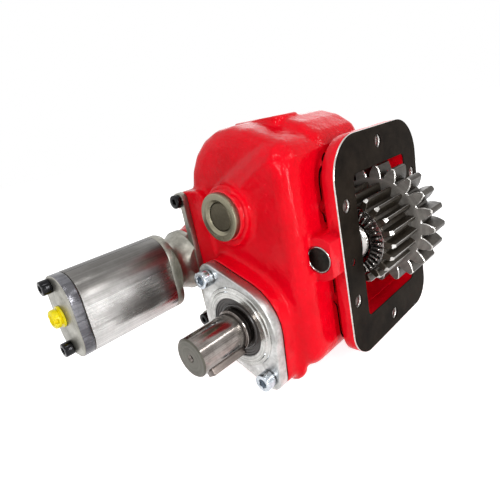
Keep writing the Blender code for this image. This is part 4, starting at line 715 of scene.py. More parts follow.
@dataclass(frozen=True)
class MetalFinish(Finish):
    """Bare or plated metal with the marks of how it was made, and a painted dark reflection on its top
    above a height.
    """

    grain: Grain = Grain.PLATED
    roughness: Pair = (0.2, 0.4)
    metallic: float = 1.0
    axis: Spot = Spot(0.0, 0.0)
    fineness: float = 900.0
    depth: float = 0.00004
    clouds: float = 0.4
    # heights over which the colour darkens into a painted dark reflection on the top, and the share
    # that is left
    painted_top_reflection: Pair | None = None
    painted_top_reflection_share: float = 0.22
    cloud_scale: float = 70.0

    def marks(self, shelf: EffectShelf, wiring: Wiring, place: Socket) -> Socket:
        """Returns the pattern that this metal's making left on it."""
        if self.grain is Grain.DRAWN:
            return shelf.place(wiring, Effect.DRAWN_LINES, place, Fineness=self.fineness)
        if self.grain is Grain.TURNED:
            return shelf.place(wiring, Effect.TURNED_RINGS, place, Across=self.axis.x, Up=self.axis.z,
                               Fineness=self.fineness)
        if self.grain is Grain.CAST:
            return shelf.place(wiring, Effect.CAST_SKIN, place, Grain=self.fineness)
        return shelf.place(wiring, Effect.MOTTLE, place, Scale=self.fineness)

    def build(self, shelf: EffectShelf) -> bpy.types.Material:
        """Builds the material with the shelf's effects."""
        material, wiring, shader, place = self.start()
        marks = self.marks(shelf, wiring, place)
        cloud = shelf.place(wiring, Effect.MOTTLE, place, Scale=self.cloud_scale)
        share = cloud
        if self.grain is not Grain.CAST:
            share = wiring.shares(marks, 1.0 - self.clouds, cloud, self.clouds)
        # above the given heights the colour is darkened: a painted dark reflection on the top
        if self.painted_top_reflection:
            height = wiring.add("ShaderNodeSeparateXYZ", Vector=place).outputs[2]
            top_reflection_fade = wiring.spread(height, self.painted_top_reflection, (1.0, self.painted_top_reflection_share))
            share = wiring.calc("MULTIPLY", share, top_reflection_fade)
        wiring.fill(shader, Base_Color=wiring.tint(share, self.dark, self.light),
                    Metallic=self.metallic, Normal=wiring.bump(marks, self.depth, 0.7),
                    Roughness=wiring.spread(share, UNIT, self.roughness[::-1]))
        return material


@dataclass(frozen=True)
class SoftFinish(Finish):
    """Rubber, plastic or gasket sheet: even colour with fine grain."""

    roughness: Pair = (0.45, 0.65)
    grain: float = 2400.0
    depth: float = 0.00005
    clouds: float = 60.0
    glow: float = 0.0
    shine: float = 0.3
    glow_reach: Colour = (0.002, 0.002, 0.0005)
    rings: Spot | None = None

    def build(self, shelf: EffectShelf) -> bpy.types.Material:
        """Builds the material with the shelf's effects."""
        material, wiring, shader, place = self.start()
        cloud = shelf.place(wiring, Effect.MOTTLE, place, Scale=self.clouds)
        if self.rings:
            marks = shelf.place(wiring, Effect.TURNED_RINGS, place, Across=self.rings.x,
                                Up=self.rings.z, Fineness=self.grain)
        else:
            marks = wiring.noise(place, self.grain, 3.0, 0.6)
        wiring.fill(shader, Base_Color=wiring.tint(cloud, self.dark, self.light),
                    Roughness=wiring.spread(marks, (0.3, 0.7), self.roughness),
                    Normal=wiring.bump(marks, self.depth, 0.6), Specular_IOR_Level=self.shine,
                    Subsurface_Weight=self.glow, Subsurface_Radius=self.glow_reach)
        return material


FINISHES = (
    PaintFinish("red_gloss_paint", (0.68, 0.0008, 0.010), (0.55, 0.0004, 0.006)),
    # the flange's painted edge highlight is its own light red, so on the flange mainly the painted
    # crease shade shows
    PaintFinish("red_flange_paint", (0.68, 0.004, 0.014), (0.58, 0.002, 0.010),
                edge=(0.68, 0.004, 0.014)),
    SoftFinish("gasket_paper", (0.018, 0.0135, 0.010), (0.006, 0.0045, 0.0035), (0.45, 0.65), 1500.0,
               0.00008, 30.0, shine=0.02),
    # painted shadow on the faces of the seam groove, where the wall passes behind the flange
    SoftFinish("seam_painted_shadow", (0.020, 0.006, 0.005), (0.006, 0.002, 0.002), (0.6, 0.8), 900.0, 0.0001,
               200.0, shine=0.02),
    MetalFinish("bare_iron", (0.62, 0.60, 0.58), (0.34, 0.32, 0.30), Grain.PLATED, (0.2, 0.38),
                fineness=600.0),
    # gear steel darkened as painted shade for the flanks and tops of the teeth, against the lighter
    # faced sides
    MetalFinish("oiled_gear_steel", (0.046, 0.036, 0.025), (0.012, 0.009, 0.006), Grain.PLATED,
                (0.24, 0.42), metallic=0.6, fineness=260.0),
    # bright steel on the tooth chamfers, and a painted highlight on the lit edge of each pinion crown
    MetalFinish("bright_chamfer_and_painted_highlight", (0.60, 0.59, 0.57), (0.26, 0.245, 0.23), Grain.PLATED, (0.2, 0.36),
                metallic=0.75, fineness=500.0),
    MetalFinish("faced_gear_side", (0.25, 0.235, 0.215), (0.07, 0.063, 0.055), Grain.TURNED, (0.4, 0.6),
                metallic=0.45, axis=INPUT, fineness=1400.0),
    MetalFinish("needle_steel", (0.16, 0.15, 0.14), (0.03, 0.027, 0.024), Grain.PLATED, (0.2, 0.35),
                fineness=400.0),
    MetalFinish("polished_bearing_steel", (0.55, 0.53, 0.51), (0.22, 0.20, 0.19), Grain.TURNED,
                (0.12, 0.26), axis=INPUT),
    MetalFinish("dark_bearing_cage", (0.09, 0.08, 0.07), (0.035, 0.03, 0.027), Grain.PLATED, (0.3, 0.5),
                fineness=400.0),
    MetalFinish("ground_shaft_steel", (0.34, 0.31, 0.29), (0.07, 0.056, 0.048), Grain.DRAWN,
                (0.10, 0.22), depth=0.00002),
    MetalFinish("faced_shaft_end", (0.125, 0.12, 0.10), (0.07, 0.066, 0.056), Grain.TURNED, (0.3, 0.48),
                axis=OUTPUT, fineness=1500.0),
    MetalFinish("key_steel", (0.20, 0.17, 0.155), (0.09, 0.075, 0.066), Grain.DRAWN, (0.28, 0.46),
                fineness=1300.0),
    MetalFinish("cover_aluminium", (0.62, 0.62, 0.61), (0.30, 0.30, 0.29), Grain.CAST, (0.26, 0.42),
                depth=0.00006),
    MetalFinish("turned_cover_hub", (0.60, 0.60, 0.58), (0.15, 0.145, 0.135), Grain.TURNED, (0.14, 0.3),
                axis=OUTPUT, fineness=700.0),
    MetalFinish("pump_end_aluminium", (0.34, 0.33, 0.29), (0.19, 0.185, 0.16), Grain.CAST, (0.3, 0.48),
                fineness=1000.0, depth=0.00005),
    MetalFinish("pump_end_side", (0.20, 0.20, 0.215), (0.035, 0.033, 0.038), Grain.DRAWN, (0.16, 0.34),
                depth=0.00005),
    # darker towards its top: a painted dark reflection
    MetalFinish("drawn_pump_aluminium", (0.60, 0.59, 0.58), (0.085, 0.08, 0.074), Grain.DRAWN,
                (0.20, 0.36), fineness=420.0, clouds=0.25, painted_top_reflection=(0.004, 0.018)),
    MetalFinish("bright_zinc", (0.62, 0.66, 0.70), (0.30, 0.33, 0.37), Grain.PLATED, (0.12, 0.28),
                fineness=300.0),
    MetalFinish("olive_zinc", (0.30, 0.28, 0.20), (0.14, 0.125, 0.088), Grain.TURNED, (0.2, 0.4),
                axis=INTERMEDIATE, fineness=800.0),
    MetalFinish("olive_axle_end", (0.13, 0.115, 0.08), (0.07, 0.06, 0.042), Grain.PLATED, (0.32, 0.5),
                fineness=500.0),
    MetalFinish("black_bolt_steel", (0.030, 0.030, 0.031), (0.008, 0.008, 0.009), Grain.PLATED,
                (0.10, 0.24), fineness=300.0),
    MetalFinish("black_axle_end", (0.030, 0.032, 0.028), (0.006, 0.007, 0.006), Grain.CAST, (0.3, 0.5),
                fineness=1500.0, depth=0.00014),
    MetalFinish("bearing_bronze", (0.55, 0.36, 0.18), (0.36, 0.22, 0.1), Grain.TURNED, (0.25, 0.45),
                axis=PUMP),
    SoftFinish("seal_rubber", (0.050, 0.042, 0.038), (0.016, 0.013, 0.012), (0.25, 0.45), 700.0,
               0.00008, 80.0, shine=0.5, rings=OUTPUT),
    SoftFinish("yellow_plastic", (0.86, 0.74, 0.006), (0.74, 0.60, 0.004), (0.25, 0.4), 900.0, 0.00003,
               120.0, glow=0.05),
)


class Workshop:
    """Keeps the finishes and hands shapes over as finished pieces of the object."""

    def __init__(self) -> None:
        """Builds every finish."""
        shelf = EffectShelf()
        self.materials = {finish.name: finish.build(shelf) for finish in FINISHES}

    def deliver(self, shape: Shape, name: str, body: str, slot: str, finishes: Sequence[str],
                replaced: Sequence[str], smooth: float = 32.0) -> bpy.types.Object:
        """Turns a shape into a finished piece.

        Args:
            shape: the closed shape, which is used up.
            name: the piece's name.
            body: the body that it rides on.
            slot: the record's material slot; not used.
            finishes: names of its materials, in the order of its slots.
            replaced: the fixed solids that it stands for.
            smooth: angle in degrees past which an edge stays sharp.

        Returns:
            The piece.
        """
        piece = shape.as_object(name, [self.materials[finish] for finish in finishes])
        piece.data.shade_smooth()
        piece.data.set_sharp_from_angle(angle=math.radians(smooth))
        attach(piece, body)
        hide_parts(*replaced)
        log.info("%s: %d faces, for %s", name, len(piece.data.polygons), ", ".join(replaced))
        return piece

    def dress(self, node: str, finish: str) -> None:
        """Gives a fixed solid that stays a finish."""
        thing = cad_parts[node]
        for place in thing.material_slots:
            place.material = self.materials[finish]
        log.info("%s keeps its solid, in %s", node, finish)


# Screws

@dataclass(frozen=True)
class SocketScrew:
    """Socket head cap screw that stands on the plane y = seat with its head towards -Y."""

    head_radius: float
    head_height: float
    shank_radius: float
    across_flats: float
    chamfer: float = 0.0009

    def shape(self, axis: Spot, seat: float, length: float) -> Shape:
        """Makes the screw.

        Args:
            axis: its axis.
            seat: plane under its head.
            length: length of its shank.

        Returns:
            Head, socket and shank in one closed shape.
        """
        top = seat - self.head_height
        r, edge = self.head_radius, self.chamfer
        screw = Shape.turned([
            (0.0, top), (r - edge, top), (r - edge * 0.3, top + edge * 0.35), (r, top + edge),
            (r, seat - 0.0003), (r - 0.0003, seat), (self.shank_radius, seat),
            (self.shank_radius, seat + length - 0.001), (self.shank_radius - 0.001, seat + length),
            (0.0, seat + length)], axis, 64)
        depth = self.head_height * 0.55
        corners = self.across_flats / math.sqrt(3)
        socket = rod(axis, corners, top - CUT_MARGIN, top + depth, 6)
        lead = Shape.turned([
            (0.0, top - 0.001), (self.across_flats * 0.62 + 0.001, top - 0.001),
            (self.across_flats * 0.44, top + 0.0012), (0.0, top + 0.0012)], axis, 48)
        low = top + depth - 0.0005
        point = Shape.turned([(0.0, low), (self.across_flats * 0.46, low), (0.0, top + depth + 0.0015)],
                             axis, 24)
        return screw.carved(socket, lead, point)


COVER_SCREW = SocketScrew(0.008, 0.010, 0.005, 0.008)
THROUGH_SCREW = SocketScrew(0.0065, 0.008, 0.004, 0.006)
FLANGE_SCREW = SocketScrew(0.0065, 0.005, 0.004, 0.005, 0.0006)


# Case

@dataclass
class Case:
    """Painted casting, its mounting gasket and the two axle ends that show in its front."""

    shop: Workshop
    voxel: float = 0.0014
    soft_passes: int = 5
    firm_passes: int = 2
    firm_side: float = -0.0125
    firm_top: float = 0.1195
    firm_front: float = -0.1165
    firm_nut: Pair = (-0.1095, 0.030)
    firm_pump: Pair = (-0.1065, -0.125)
    firm_boss: Pair = (-0.083, 0.0185)
    skin_overlap: float = 0.0010
    trim_low: Pair = (-0.10, -0.11)
    trim_high: Triple = (0.01, 0.09, 0.11)
    flange_back: float = -0.0118
    boss_radius: float = 0.0194
    flange_round: float = 0.0008
    plane_slack: float = 0.0004
    boss_face: float = -0.0885
    boss_root: float = -0.066
    boss_hole_end: float = -0.06
    beyond_boss_low: Triple = (-0.0011, -0.12, -0.05)
    beyond_boss_high: Triple = (0.03, -0.04, 0.05)
    ridge_back: float = -0.090
    ridges: tuple[tuple[float, ...], ...] = (
        (-0.080, 0.064, -0.034, 0.090, 0.007, 0.0022), (-0.0595, 0.0585, -0.0700, 0.030, 0.006, 0.0012))
    triangle_limit: int = 185000
    seam_wall: float = -0.0200
    seam_reach: float = 0.0078
    seam_width: float = 0.0018
    seam_top: float = 0.086
    seam_bottom: float = -0.085
    seam_end: float = -0.05
    seam_depth: float = 0.0032
    seam_gap: float = 0.005
    seam_beyond: float = 0.12
    gasket_low: float = 0.0003
    gasket_high: float = 0.0013
    gasket_round: float = 0.00015
    flange_half_width: float = 0.0725
    flange_half_height: float = 0.097
    top_corner: float = 0.036
    low_corner: float = 0.024
    window_half_width: float = 0.046
    window_half_height: float = 0.0645
    window_corner: float = 0.005
    window_growth: float = 0.0004
    window_depth: float = -0.0140
    cut_end: float = 0.004
    stud_radius: float = 0.0055
    stud_depth: float = -0.0135
    thread_start: float = -0.0130
    thread_stop: float = -0.0015
    studs: tuple[Pair, ...] = (
        (0.061, 0.0425), (0.061, -0.0425), (-0.061, 0.0425), (-0.061, -0.0425), (0.0, 0.084),
        (0.0, -0.084))
    dowel: Circle = (-0.061, -0.006, 0.003)
    dowel_depth: float = -0.010
    axle_radius: float = 0.01175
    axle_face: float = -0.0882
    axle_end: float = 0.0637
    axle_rim: float = 0.0016
    nut_radius: float = 0.0215
    nut_bore: float = 0.0132
    nut_face: float = -0.121
    nut_back: float = -0.1155
    nut_end: float = -0.0995
    nut_mouth: Profile = ((0.0, 0.0026), (0.0022, 0.0003), (0.0027, 0.0))
    nut_thread: float = 0.0200
    nut_groove: float = 0.0010
    thread_pitch: float = 0.0015
    thread_depth: float = 0.0006
    collar_cone: Profile = ((0.0219, 0.0), (0.0225, 0.0005), (0.0230, 0.0025), (0.0240, 0.0045),
                            (0.0262, 0.0080))
    edge: float = 0.0009
    edge_slope: float = 4.6
    pin_radius: float = 0.0128
    pin_face: float = -0.1185
    pin_end: float = 0.0132
    pin_edge: float = 0.0008

    def build(self) -> None:
        """Builds and delivers the pieces of the case."""
        self.casting()
        self.gasket()
        self.axle()
        self.ring_nut()

    def firm(self, point: Vector) -> bool:
        """Tells whether a point lies on a machined face that stays crisp."""
        if point.x > self.firm_side or point.z > self.firm_top or point.y < self.firm_front:
            return True
        return any(point.y < front and reach < limit for reach, (front, limit) in (
            (INTERMEDIATE.reach(point), self.firm_nut), (point.x, self.firm_pump),
            (INPUT.reach(point), self.firm_boss)))

    def casting(self) -> None:
        """Makes the casting: a skin over the solid, softened like sand-cast iron, with clean holes."""
        body = Shape.of_node("gearcase").as_object("skin")
        skin = body.modifiers.new("skin", "REMESH")
        skin.mode = "VOXEL"
        skin.voxel_size = self.voxel
        mesh = evaluated(body)
        bpy.data.objects.remove(body)
        self.raise_ridges(mesh)
        soft = [v for v in mesh.verts if not self.firm(v.co)]
        for points in [mesh.verts] * self.firm_passes + [soft] * self.soft_passes:
            bmesh.ops.smooth_vert(mesh, verts=points, factor=0.5, use_axis_x=True, use_axis_y=True,
                                  use_axis_z=True)
        thinned = Shape(mesh).as_object("thinned")
        triangles = 2 * len(thinned.data.polygons)
        thin = thinned.modifiers.new("thin", "DECIMATE")
        thin.ratio = min(1.0, self.triangle_limit / triangles)
        casting = Shape(evaluated(thinned))
        bpy.data.objects.remove(thinned)
        trim = Shape.box((self.flange_back + self.skin_overlap, *self.trim_low), self.trim_high)
        casting.worked([trim], Cut.AWAY, Solver.MANIFOLD)
        casting.worked([self.flange(), self.collar()], Cut.JOIN, Solver.MANIFOLD)
        cutters = [self.threaded(Spot(y, z)) for y, z in self.studs]
        cutters.append(Shape.belt([self.dowel], self.dowel_depth, self.cut_end, 32).along_x().marked(1))
        window = self.window(self.window_growth, self.window_depth, self.cut_end)
        cutters += [window, self.edge_break(), self.seam()]
        casting.worked(cutters, Cut.AWAY, Solver.MANIFOLD)
        # slot 2 holds the seam's painted shadow
        finishes = ["red_gloss_paint", "bare_iron", "seam_painted_shadow", "red_flange_paint"]
        self.shop.deliver(casting, "case_casting", "case", "red_paint", finishes, ["gearcase"], 50.0)

    def raise_ridges(self, mesh: BMesh) -> None:
        """Raises the low ridges that run over the front of the casting, each between two points."""
        for x1, z1, x2, z2, width, height in self.ridges:
            along = Vector((x2 - x1, 0.0, z2 - z1))
            length = along.length
            along.normalize()
            for point in mesh.verts:
                if point.co.y > self.ridge_back:
                    continue
                offset = point.co - Vector((x1, point.co.y, z1))
                reach = min(max(offset.dot(along), 0.0), length)
                gap = (offset - along * reach).length / width
                if gap < 1.0 and point.normal.y < -0.5:
                    point.co.y -= height * (1.0 - gap) ** 1.3

    def flange(self) -> Shape:
        """Makes the machined flange, crisp where the cast skin is soft, with the boss beside it."""
        flange = self.plate(0.0, self.flange_back, 0.0)
        flange.bevelled(self.flange_round, 2, CRISP_ANGLE,
                        where=lambda middle: middle.x < self.flange_back + self.plane_slack)
        boss = rod(INPUT, self.boss_radius, self.boss_face, self.boss_root, 96)
        boss.bevelled(LEAD, 3, CRISP_ANGLE)
        hole = rod(INPUT, self.axle_radius + FIT, self.boss_face - CUT_MARGIN, self.boss_hole_end)
        boss.carved(Shape.box(self.beyond_boss_low, self.beyond_boss_high), hole)
        return flange.joined(boss).marked(3)

    def threaded(self, axis: Spot) -> Shape:
        """Makes the cutter of one stud hole, with its thread and its lead at the flange face."""
        r, pitch, depth = self.stud_radius, self.thread_pitch, self.thread_depth
        profile = [(0.0, self.stud_depth), (r, self.stud_depth)]
        y = self.thread_start
        while y < self.thread_stop - pitch:
            profile += [(r, y), (r + depth, y + pitch * 0.45), (r + depth, y + pitch * 0.55),
                        (r, y + pitch * 0.95)]
            y += pitch
        end = self.cut_end
        profile += [(r, -LEAD), (r + LEAD, 0.0), (r + LEAD, end), (0.0, end)]
        return Shape.turned(profile, axis, 40).along_x().marked(1)

    def collar(self) -> Shape:
        """Makes the low collar on which the ring nut sits, coned down to the casting's front."""
        bore = self.nut_thread + self.thread_depth
        cone = [(radius, self.nut_back + FIT + y) for radius, y in self.collar_cone]
        section = [(bore, cone[0][1]), *cone, (bore, cone[-1][1])]
        return Shape.turned(section, INTERMEDIATE, 128, ring=True)

    def seam(self) -> Shape:
        """Makes the cutter of the seam in the wall beside the flange, with a gap at the boss; its faces
        are painted dark as a shadow.
        """
        wall, far = self.seam_wall, self.seam_beyond
        slack, back = self.plane_slack, self.flange_back
        ring = self.plate(self.seam_reach, wall - self.seam_depth, back - slack)
        reach = self.seam_reach + self.seam_width
        inside = self.plate(reach, wall - self.seam_depth - 2 * slack, back + slack)
        boss = self.boss_radius + self.seam_gap
        keeps = [Shape.box((wall - 0.01, front, low), (wall + 0.01, 0.10, high))
                 for front, low, high in (
                     (-0.10, self.seam_top, far), (-0.10, -far, self.seam_bottom),
                     (-0.10, INPUT.z - boss, INPUT.z + boss), (self.seam_end, -far, far))]
        return ring.carved(inside, *keeps).marked(2)

    def edge_break(self) -> Shape:
        """Makes the cutter that breaks the outer edge of the flange face down to bare iron."""
        ring = self.plate(-0.0006, -self.edge, 0.003)
        inside = self.plate(-0.0001, -self.edge - 0.0001, self.cut_end, self.edge * self.edge_slope)
        return ring.carved(inside).marked(1)

    def plate(self, shrink: float, x_low: float, x_high: float, narrowing: float = 0.0) -> Shape:
        """Makes a plate with the flange's outline, shrunk all round, between two planes.

        Args:
            shrink: how far its edge stays inside the outline.
            x_low: plane on its casting's side.
            x_high: plane on its gearbox side.
            narrowing: how much more it is shrunk at the higher plane.

        Returns:
            The plate.
        """
        wide, high = self.flange_half_width, self.flange_half_height
        corners = []
        for side in (-1, 1):
            for top, radius in ((1, self.top_corner), (-1, self.low_corner)):
                corners.append((side * (wide - radius), top * (high - radius), radius - shrink))
        return Shape.belt(corners, x_low, x_high, 96, narrowing).along_x()

    def window(self, grow: float, x_low: float, x_high: float) -> Shape:
        """Makes the cutter of the flange's window, grown all round."""
        corners = [(side * (self.window_half_width - self.window_corner),
                    top * (self.window_half_height - self.window_corner), self.window_corner + grow)
                   for side in (-1, 1) for top in (-1, 1)]
        return Shape.belt(corners, x_low, x_high, 32).along_x()

    def gasket(self) -> None:
        """Makes the dark gasket with its window, its stud holes and the dowel's hole."""
        sheet = self.plate(FIT, self.gasket_low, self.gasket_high)
        low, high = self.gasket_low - CUT_MARGIN, self.gasket_high + CUT_MARGIN
        cutters = [self.window(0.0, low, high)]
        for y, z in self.studs:
            cutters.append(Shape.belt([(y, z, self.stud_radius)], low, high, 48).along_x())
        cutters.append(Shape.belt([self.dowel], low, high, 32).along_x())
        sheet.carved(*cutters).bevelled(self.gasket_round, 1, CRISP_ANGLE)
        self.shop.deliver(sheet, "flange_gasket", "case", "gasket", ["gasket_paper"],
                          ["mounting_gasket"])

    def axle(self) -> None:
        """Makes the axle of the input gears, with its dark recessed end in the boss."""
        r, edge = self.axle_radius, self.pin_edge
        front, back, rim = self.axle_face, self.axle_end, self.axle_radius - self.axle_rim
        pin = Shape.turned([
            (0.0, front + edge), (rim, front + edge), (r - LEAD, front), (r - edge / 2, front),
            (r, front + edge / 2), (r, back - edge), (r - edge, back), (0.0, back)], INPUT)
        pin.marked(1, lambda face: face.calc_center_median().y < front + LEAD
                   and INPUT.reach(face.calc_center_median()) < rim)
        self.shop.deliver(pin, "input_axle_pin", "case", "dark_steel",
                          ["polished_bearing_steel", "black_axle_end"], ["input_axle"])

    def ring_nut(self) -> None:
        """Makes the ring nut with its thread, and the axle end that shows through it."""
        r, bore, face, edge = self.nut_radius, self.nut_bore, self.nut_face, self.pin_edge
        profile = [(bore + step, face + y) for step, y in self.nut_mouth]
        profile += [(r - edge, face), (r - edge * 0.3, face + edge * 0.3), (r, face + edge),
                    (r, self.nut_back - edge / 2), (r - edge / 2, self.nut_back)]
        crest, pitch, root = self.nut_thread, self.thread_pitch, self.nut_thread - self.nut_groove
        profile.append((crest - LEAD, self.nut_back))
        y = self.nut_back
        while y < self.nut_end - pitch:
            profile += [(root, y + 0.0001), (crest, y + pitch * 0.45), (crest, y + pitch * 0.6),
                        (root, y + pitch)]
            y += pitch
        profile += [(crest - LEAD, self.nut_end), (bore, self.nut_end)]
        nut = Shape.turned(profile, INTERMEDIATE, 128, ring=True)
        self.shop.deliver(nut, "ring_nut", "case", "olive_zinc", ["olive_zinc"], ["ring_plug"], 28.0)
        p, front, back = self.pin_radius, self.pin_face, self.pin_end
        pin = Shape.turned([
            (0.0, front), (p - edge, front), (p, front + edge), (p, back - edge), (p - edge, back),
            (0.0, back)], INTERMEDIATE)
        self.shop.deliver(pin, "intermediate_axle_pin", "case", "olive_zinc", ["olive_axle_end"],
                          ["intermediate_axle"])


# Input gears

@dataclass
class InputGears:
    """Pinion and large gear in one piece, the sleeve that they turn on and their thrust bearing."""

    shop: Workshop
    pinion: Toothing = Toothing(0.0035, 22, math.radians(11.8))
    wheel: Toothing = Toothing(0.005, 21, math.radians(14.1), -0.0012, math.radians(26.5),
                               tip_round=0.0018)
    pinion_face: float = -0.040
    wheel_face: float = 0.0045
    wheel_back: float = 0.028
    bore: float = 0.024
    chamfer: float = 0.0007
    wheel_chamfer: float = 0.0008
    sleeve_bore: float = 0.01205
    sleeve_radius: float = 0.0195
    sleeve_edge: float = 0.0006
    sleeve_crown: Profile = ((0.0138, 0.0), (0.0152, 0.0003), (0.0167, 0.0011), (0.0180, 0.0022),
                             (0.0189, 0.0034))
    sleeve_front: float = -0.0444
    sleeve_back: float = 0.0293
    cage_inner: float = 0.0215
    cage_outer: float = 0.0335
    cage_front: float = -0.0443
    cage_back: float = -0.0417
    cage_rim: Profile = ((0.0, -0.0012), (0.0011, -0.0012), (0.0014, -0.0004))
    needles: int = 38
    needle_radius: float = 0.0013
    needle_gap: float = 0.0032
    needle_round: float = 0.0003
    cage_depth: float = 0.0011
    bead_inset: float = 0.0013
    bead_step: float = 0.0038
    bead_radius: float = 0.0010
    bead_lift: float = 0.0009
    cone: float = 0.0032
    cone_slope: float = 1.1

    def build(self) -> None:
        """Builds and delivers the pieces of the input gears."""
        self.cluster()
        self.sleeve()
        self.thrust_bearing()

    def cluster(self) -> None:
        """Makes the two gears with their bore, turned sides and broken tooth ends."""
        wheel = self.wheel.disc(INPUT, self.wheel_face, self.wheel_back, self.wheel_chamfer)
        pinion = self.pinion.disc(INPUT, self.pinion_face, self.wheel_face + CUT_MARGIN, self.chamfer)
        # flanks and tops keep the gear steel with its painted shade; the flat sides take the lighter
        # faced finish
        wheel.marked(2, lambda face: abs(face.normal.y) > 0.99 and len(face.verts) > 4)
        # the lit edge of each pinion crown takes a painted highlight
        pinion.marked(0).marked(1, self.polished)
        tip, front, back = self.pinion.tip, self.pinion_face, self.wheel_back
        beyond = tip + CUT_MARGIN
        pinion.carved(Shape.turned([
            (tip - self.cone, front - CUT_MARGIN / 2), (beyond, front - CUT_MARGIN / 2),
            (beyond, front + self.cone * self.cone_slope + CUT_MARGIN)],
            INPUT, 132, ring=True).marked(1))
        wheel.joined(pinion)
        inner, mouth = self.bore, self.bore + LEAD
        bore = Shape.turned([
            (0.0, front - CUT_MARGIN), (mouth, front - CUT_MARGIN), (mouth, front),
            (inner, front + LEAD), (inner, back - LEAD), (mouth, back), (mouth, back + CUT_MARGIN),
            (0.0, back + CUT_MARGIN)], INPUT)
        self.shop.deliver(wheel.carved(bore), "input_gears", "input_cluster", "gear_steel",
                          ["oiled_gear_steel", "bright_chamfer_and_painted_highlight", "faced_gear_side"],
                          ["input_gear_cluster"], 30.0)

    def polished(self, face: BMFace) -> bool:
        """Tells of a pinion face whether it is on the crown's edge on the lit side, which takes a
        painted highlight.
        """
        tip, pitch = self.pinion.tip, math.tau / self.pinion.count
        middle = face.calc_center_median()
        angle = math.atan2(middle.z - INPUT.z, middle.x - INPUT.x)
        side = (angle - self.pinion.phase + pitch / 2) % pitch - pitch / 2
        reach = [INPUT.reach(corner.co) for corner in face.verts]
        rounded = tip - self.pinion.tip_round * 1.2 <= min(reach) < tip - 2 * CROWN_SLACK
        return side > 0.0 and rounded and max(reach) <= tip + CROWN_SLACK and abs(face.normal.y) < 0.5

    def sleeve(self) -> None:
        """Makes the polished sleeve with its crowned front end."""
        inner, outer = self.sleeve_bore, self.sleeve_radius
        front, back, edge = self.sleeve_front, self.sleeve_back, self.sleeve_edge
        section = [(inner, front + 0.0010), (inner + 0.0008, front + 0.0003)]
        section += [(radius, front + y) for radius, y in self.sleeve_crown]
        section += [(outer, front + 0.0048), (outer, back - edge), (outer - edge, back),
                    (inner + edge, back), (inner, back - edge)]
        sleeve = Shape.turned(section, INPUT, ring=True)
        self.shop.deliver(sleeve, "input_sleeve", "case", "bright_steel", ["polished_bearing_steel"],
                          ["input_bearing_sleeve"])

    def thrust_bearing(self) -> None:
        """Makes the thrust bearing: a dark cage with a needle and three bright beads per window."""
        middle = (self.cage_front + self.cage_back) / 2
        inner, outer = self.cage_inner, self.cage_outer
        section = [(inner + step, middle + y) for step, y in self.cage_rim]
        section += [(outer - step, middle + y) for step, y in reversed(self.cage_rim)]
        section += [(outer, middle + self.cage_depth), (inner, middle + self.cage_depth)]
        cage = Shape.turned(section, INPUT, 144, ring=True)
        first = Shape()
        place = Matrix.Translation(((inner + outer) / 2, middle, 0.0)) @ Matrix.Rotation(
            math.pi / 2, 4, "Y")
        length = outer - inner - self.needle_gap
        bmesh.ops.create_cone(first.mesh, cap_ends=True, cap_tris=False, segments=12,
                              radius1=self.needle_radius, radius2=self.needle_radius, depth=length,
                              matrix=place)
        first.bevelled(self.needle_round, 1, CRISP_ANGLE).marked(2)
        for reach in (inner + self.bead_inset, outer - self.bead_step, outer - self.bead_inset):
            spot = Matrix.Translation((reach, middle - self.bead_lift, 0.0))
            bead = bmesh.ops.create_icosphere(first.mesh, subdivisions=2, radius=self.bead_radius,
                                              matrix=spot)
            for corner in bead["verts"]:
                for face in corner.link_faces:
                    face.material_index = 1
        parts = first.mesh.verts[:] + first.mesh.edges[:] + first.mesh.faces[:]
        others = self.needles - 1
        spin_about_y(first.mesh, parts, others, math.tau * others / self.needles, use_duplicate=True)
        first.moved(Matrix.Translation(INPUT.offset))
        cage.joined(first)
        self.shop.deliver(cage, "thrust_bearing", "case", "bright_steel",
                          ["dark_bearing_cage", "polished_bearing_steel", "needle_steel"],
                          ["thrust_needle_cage"])


# Output end

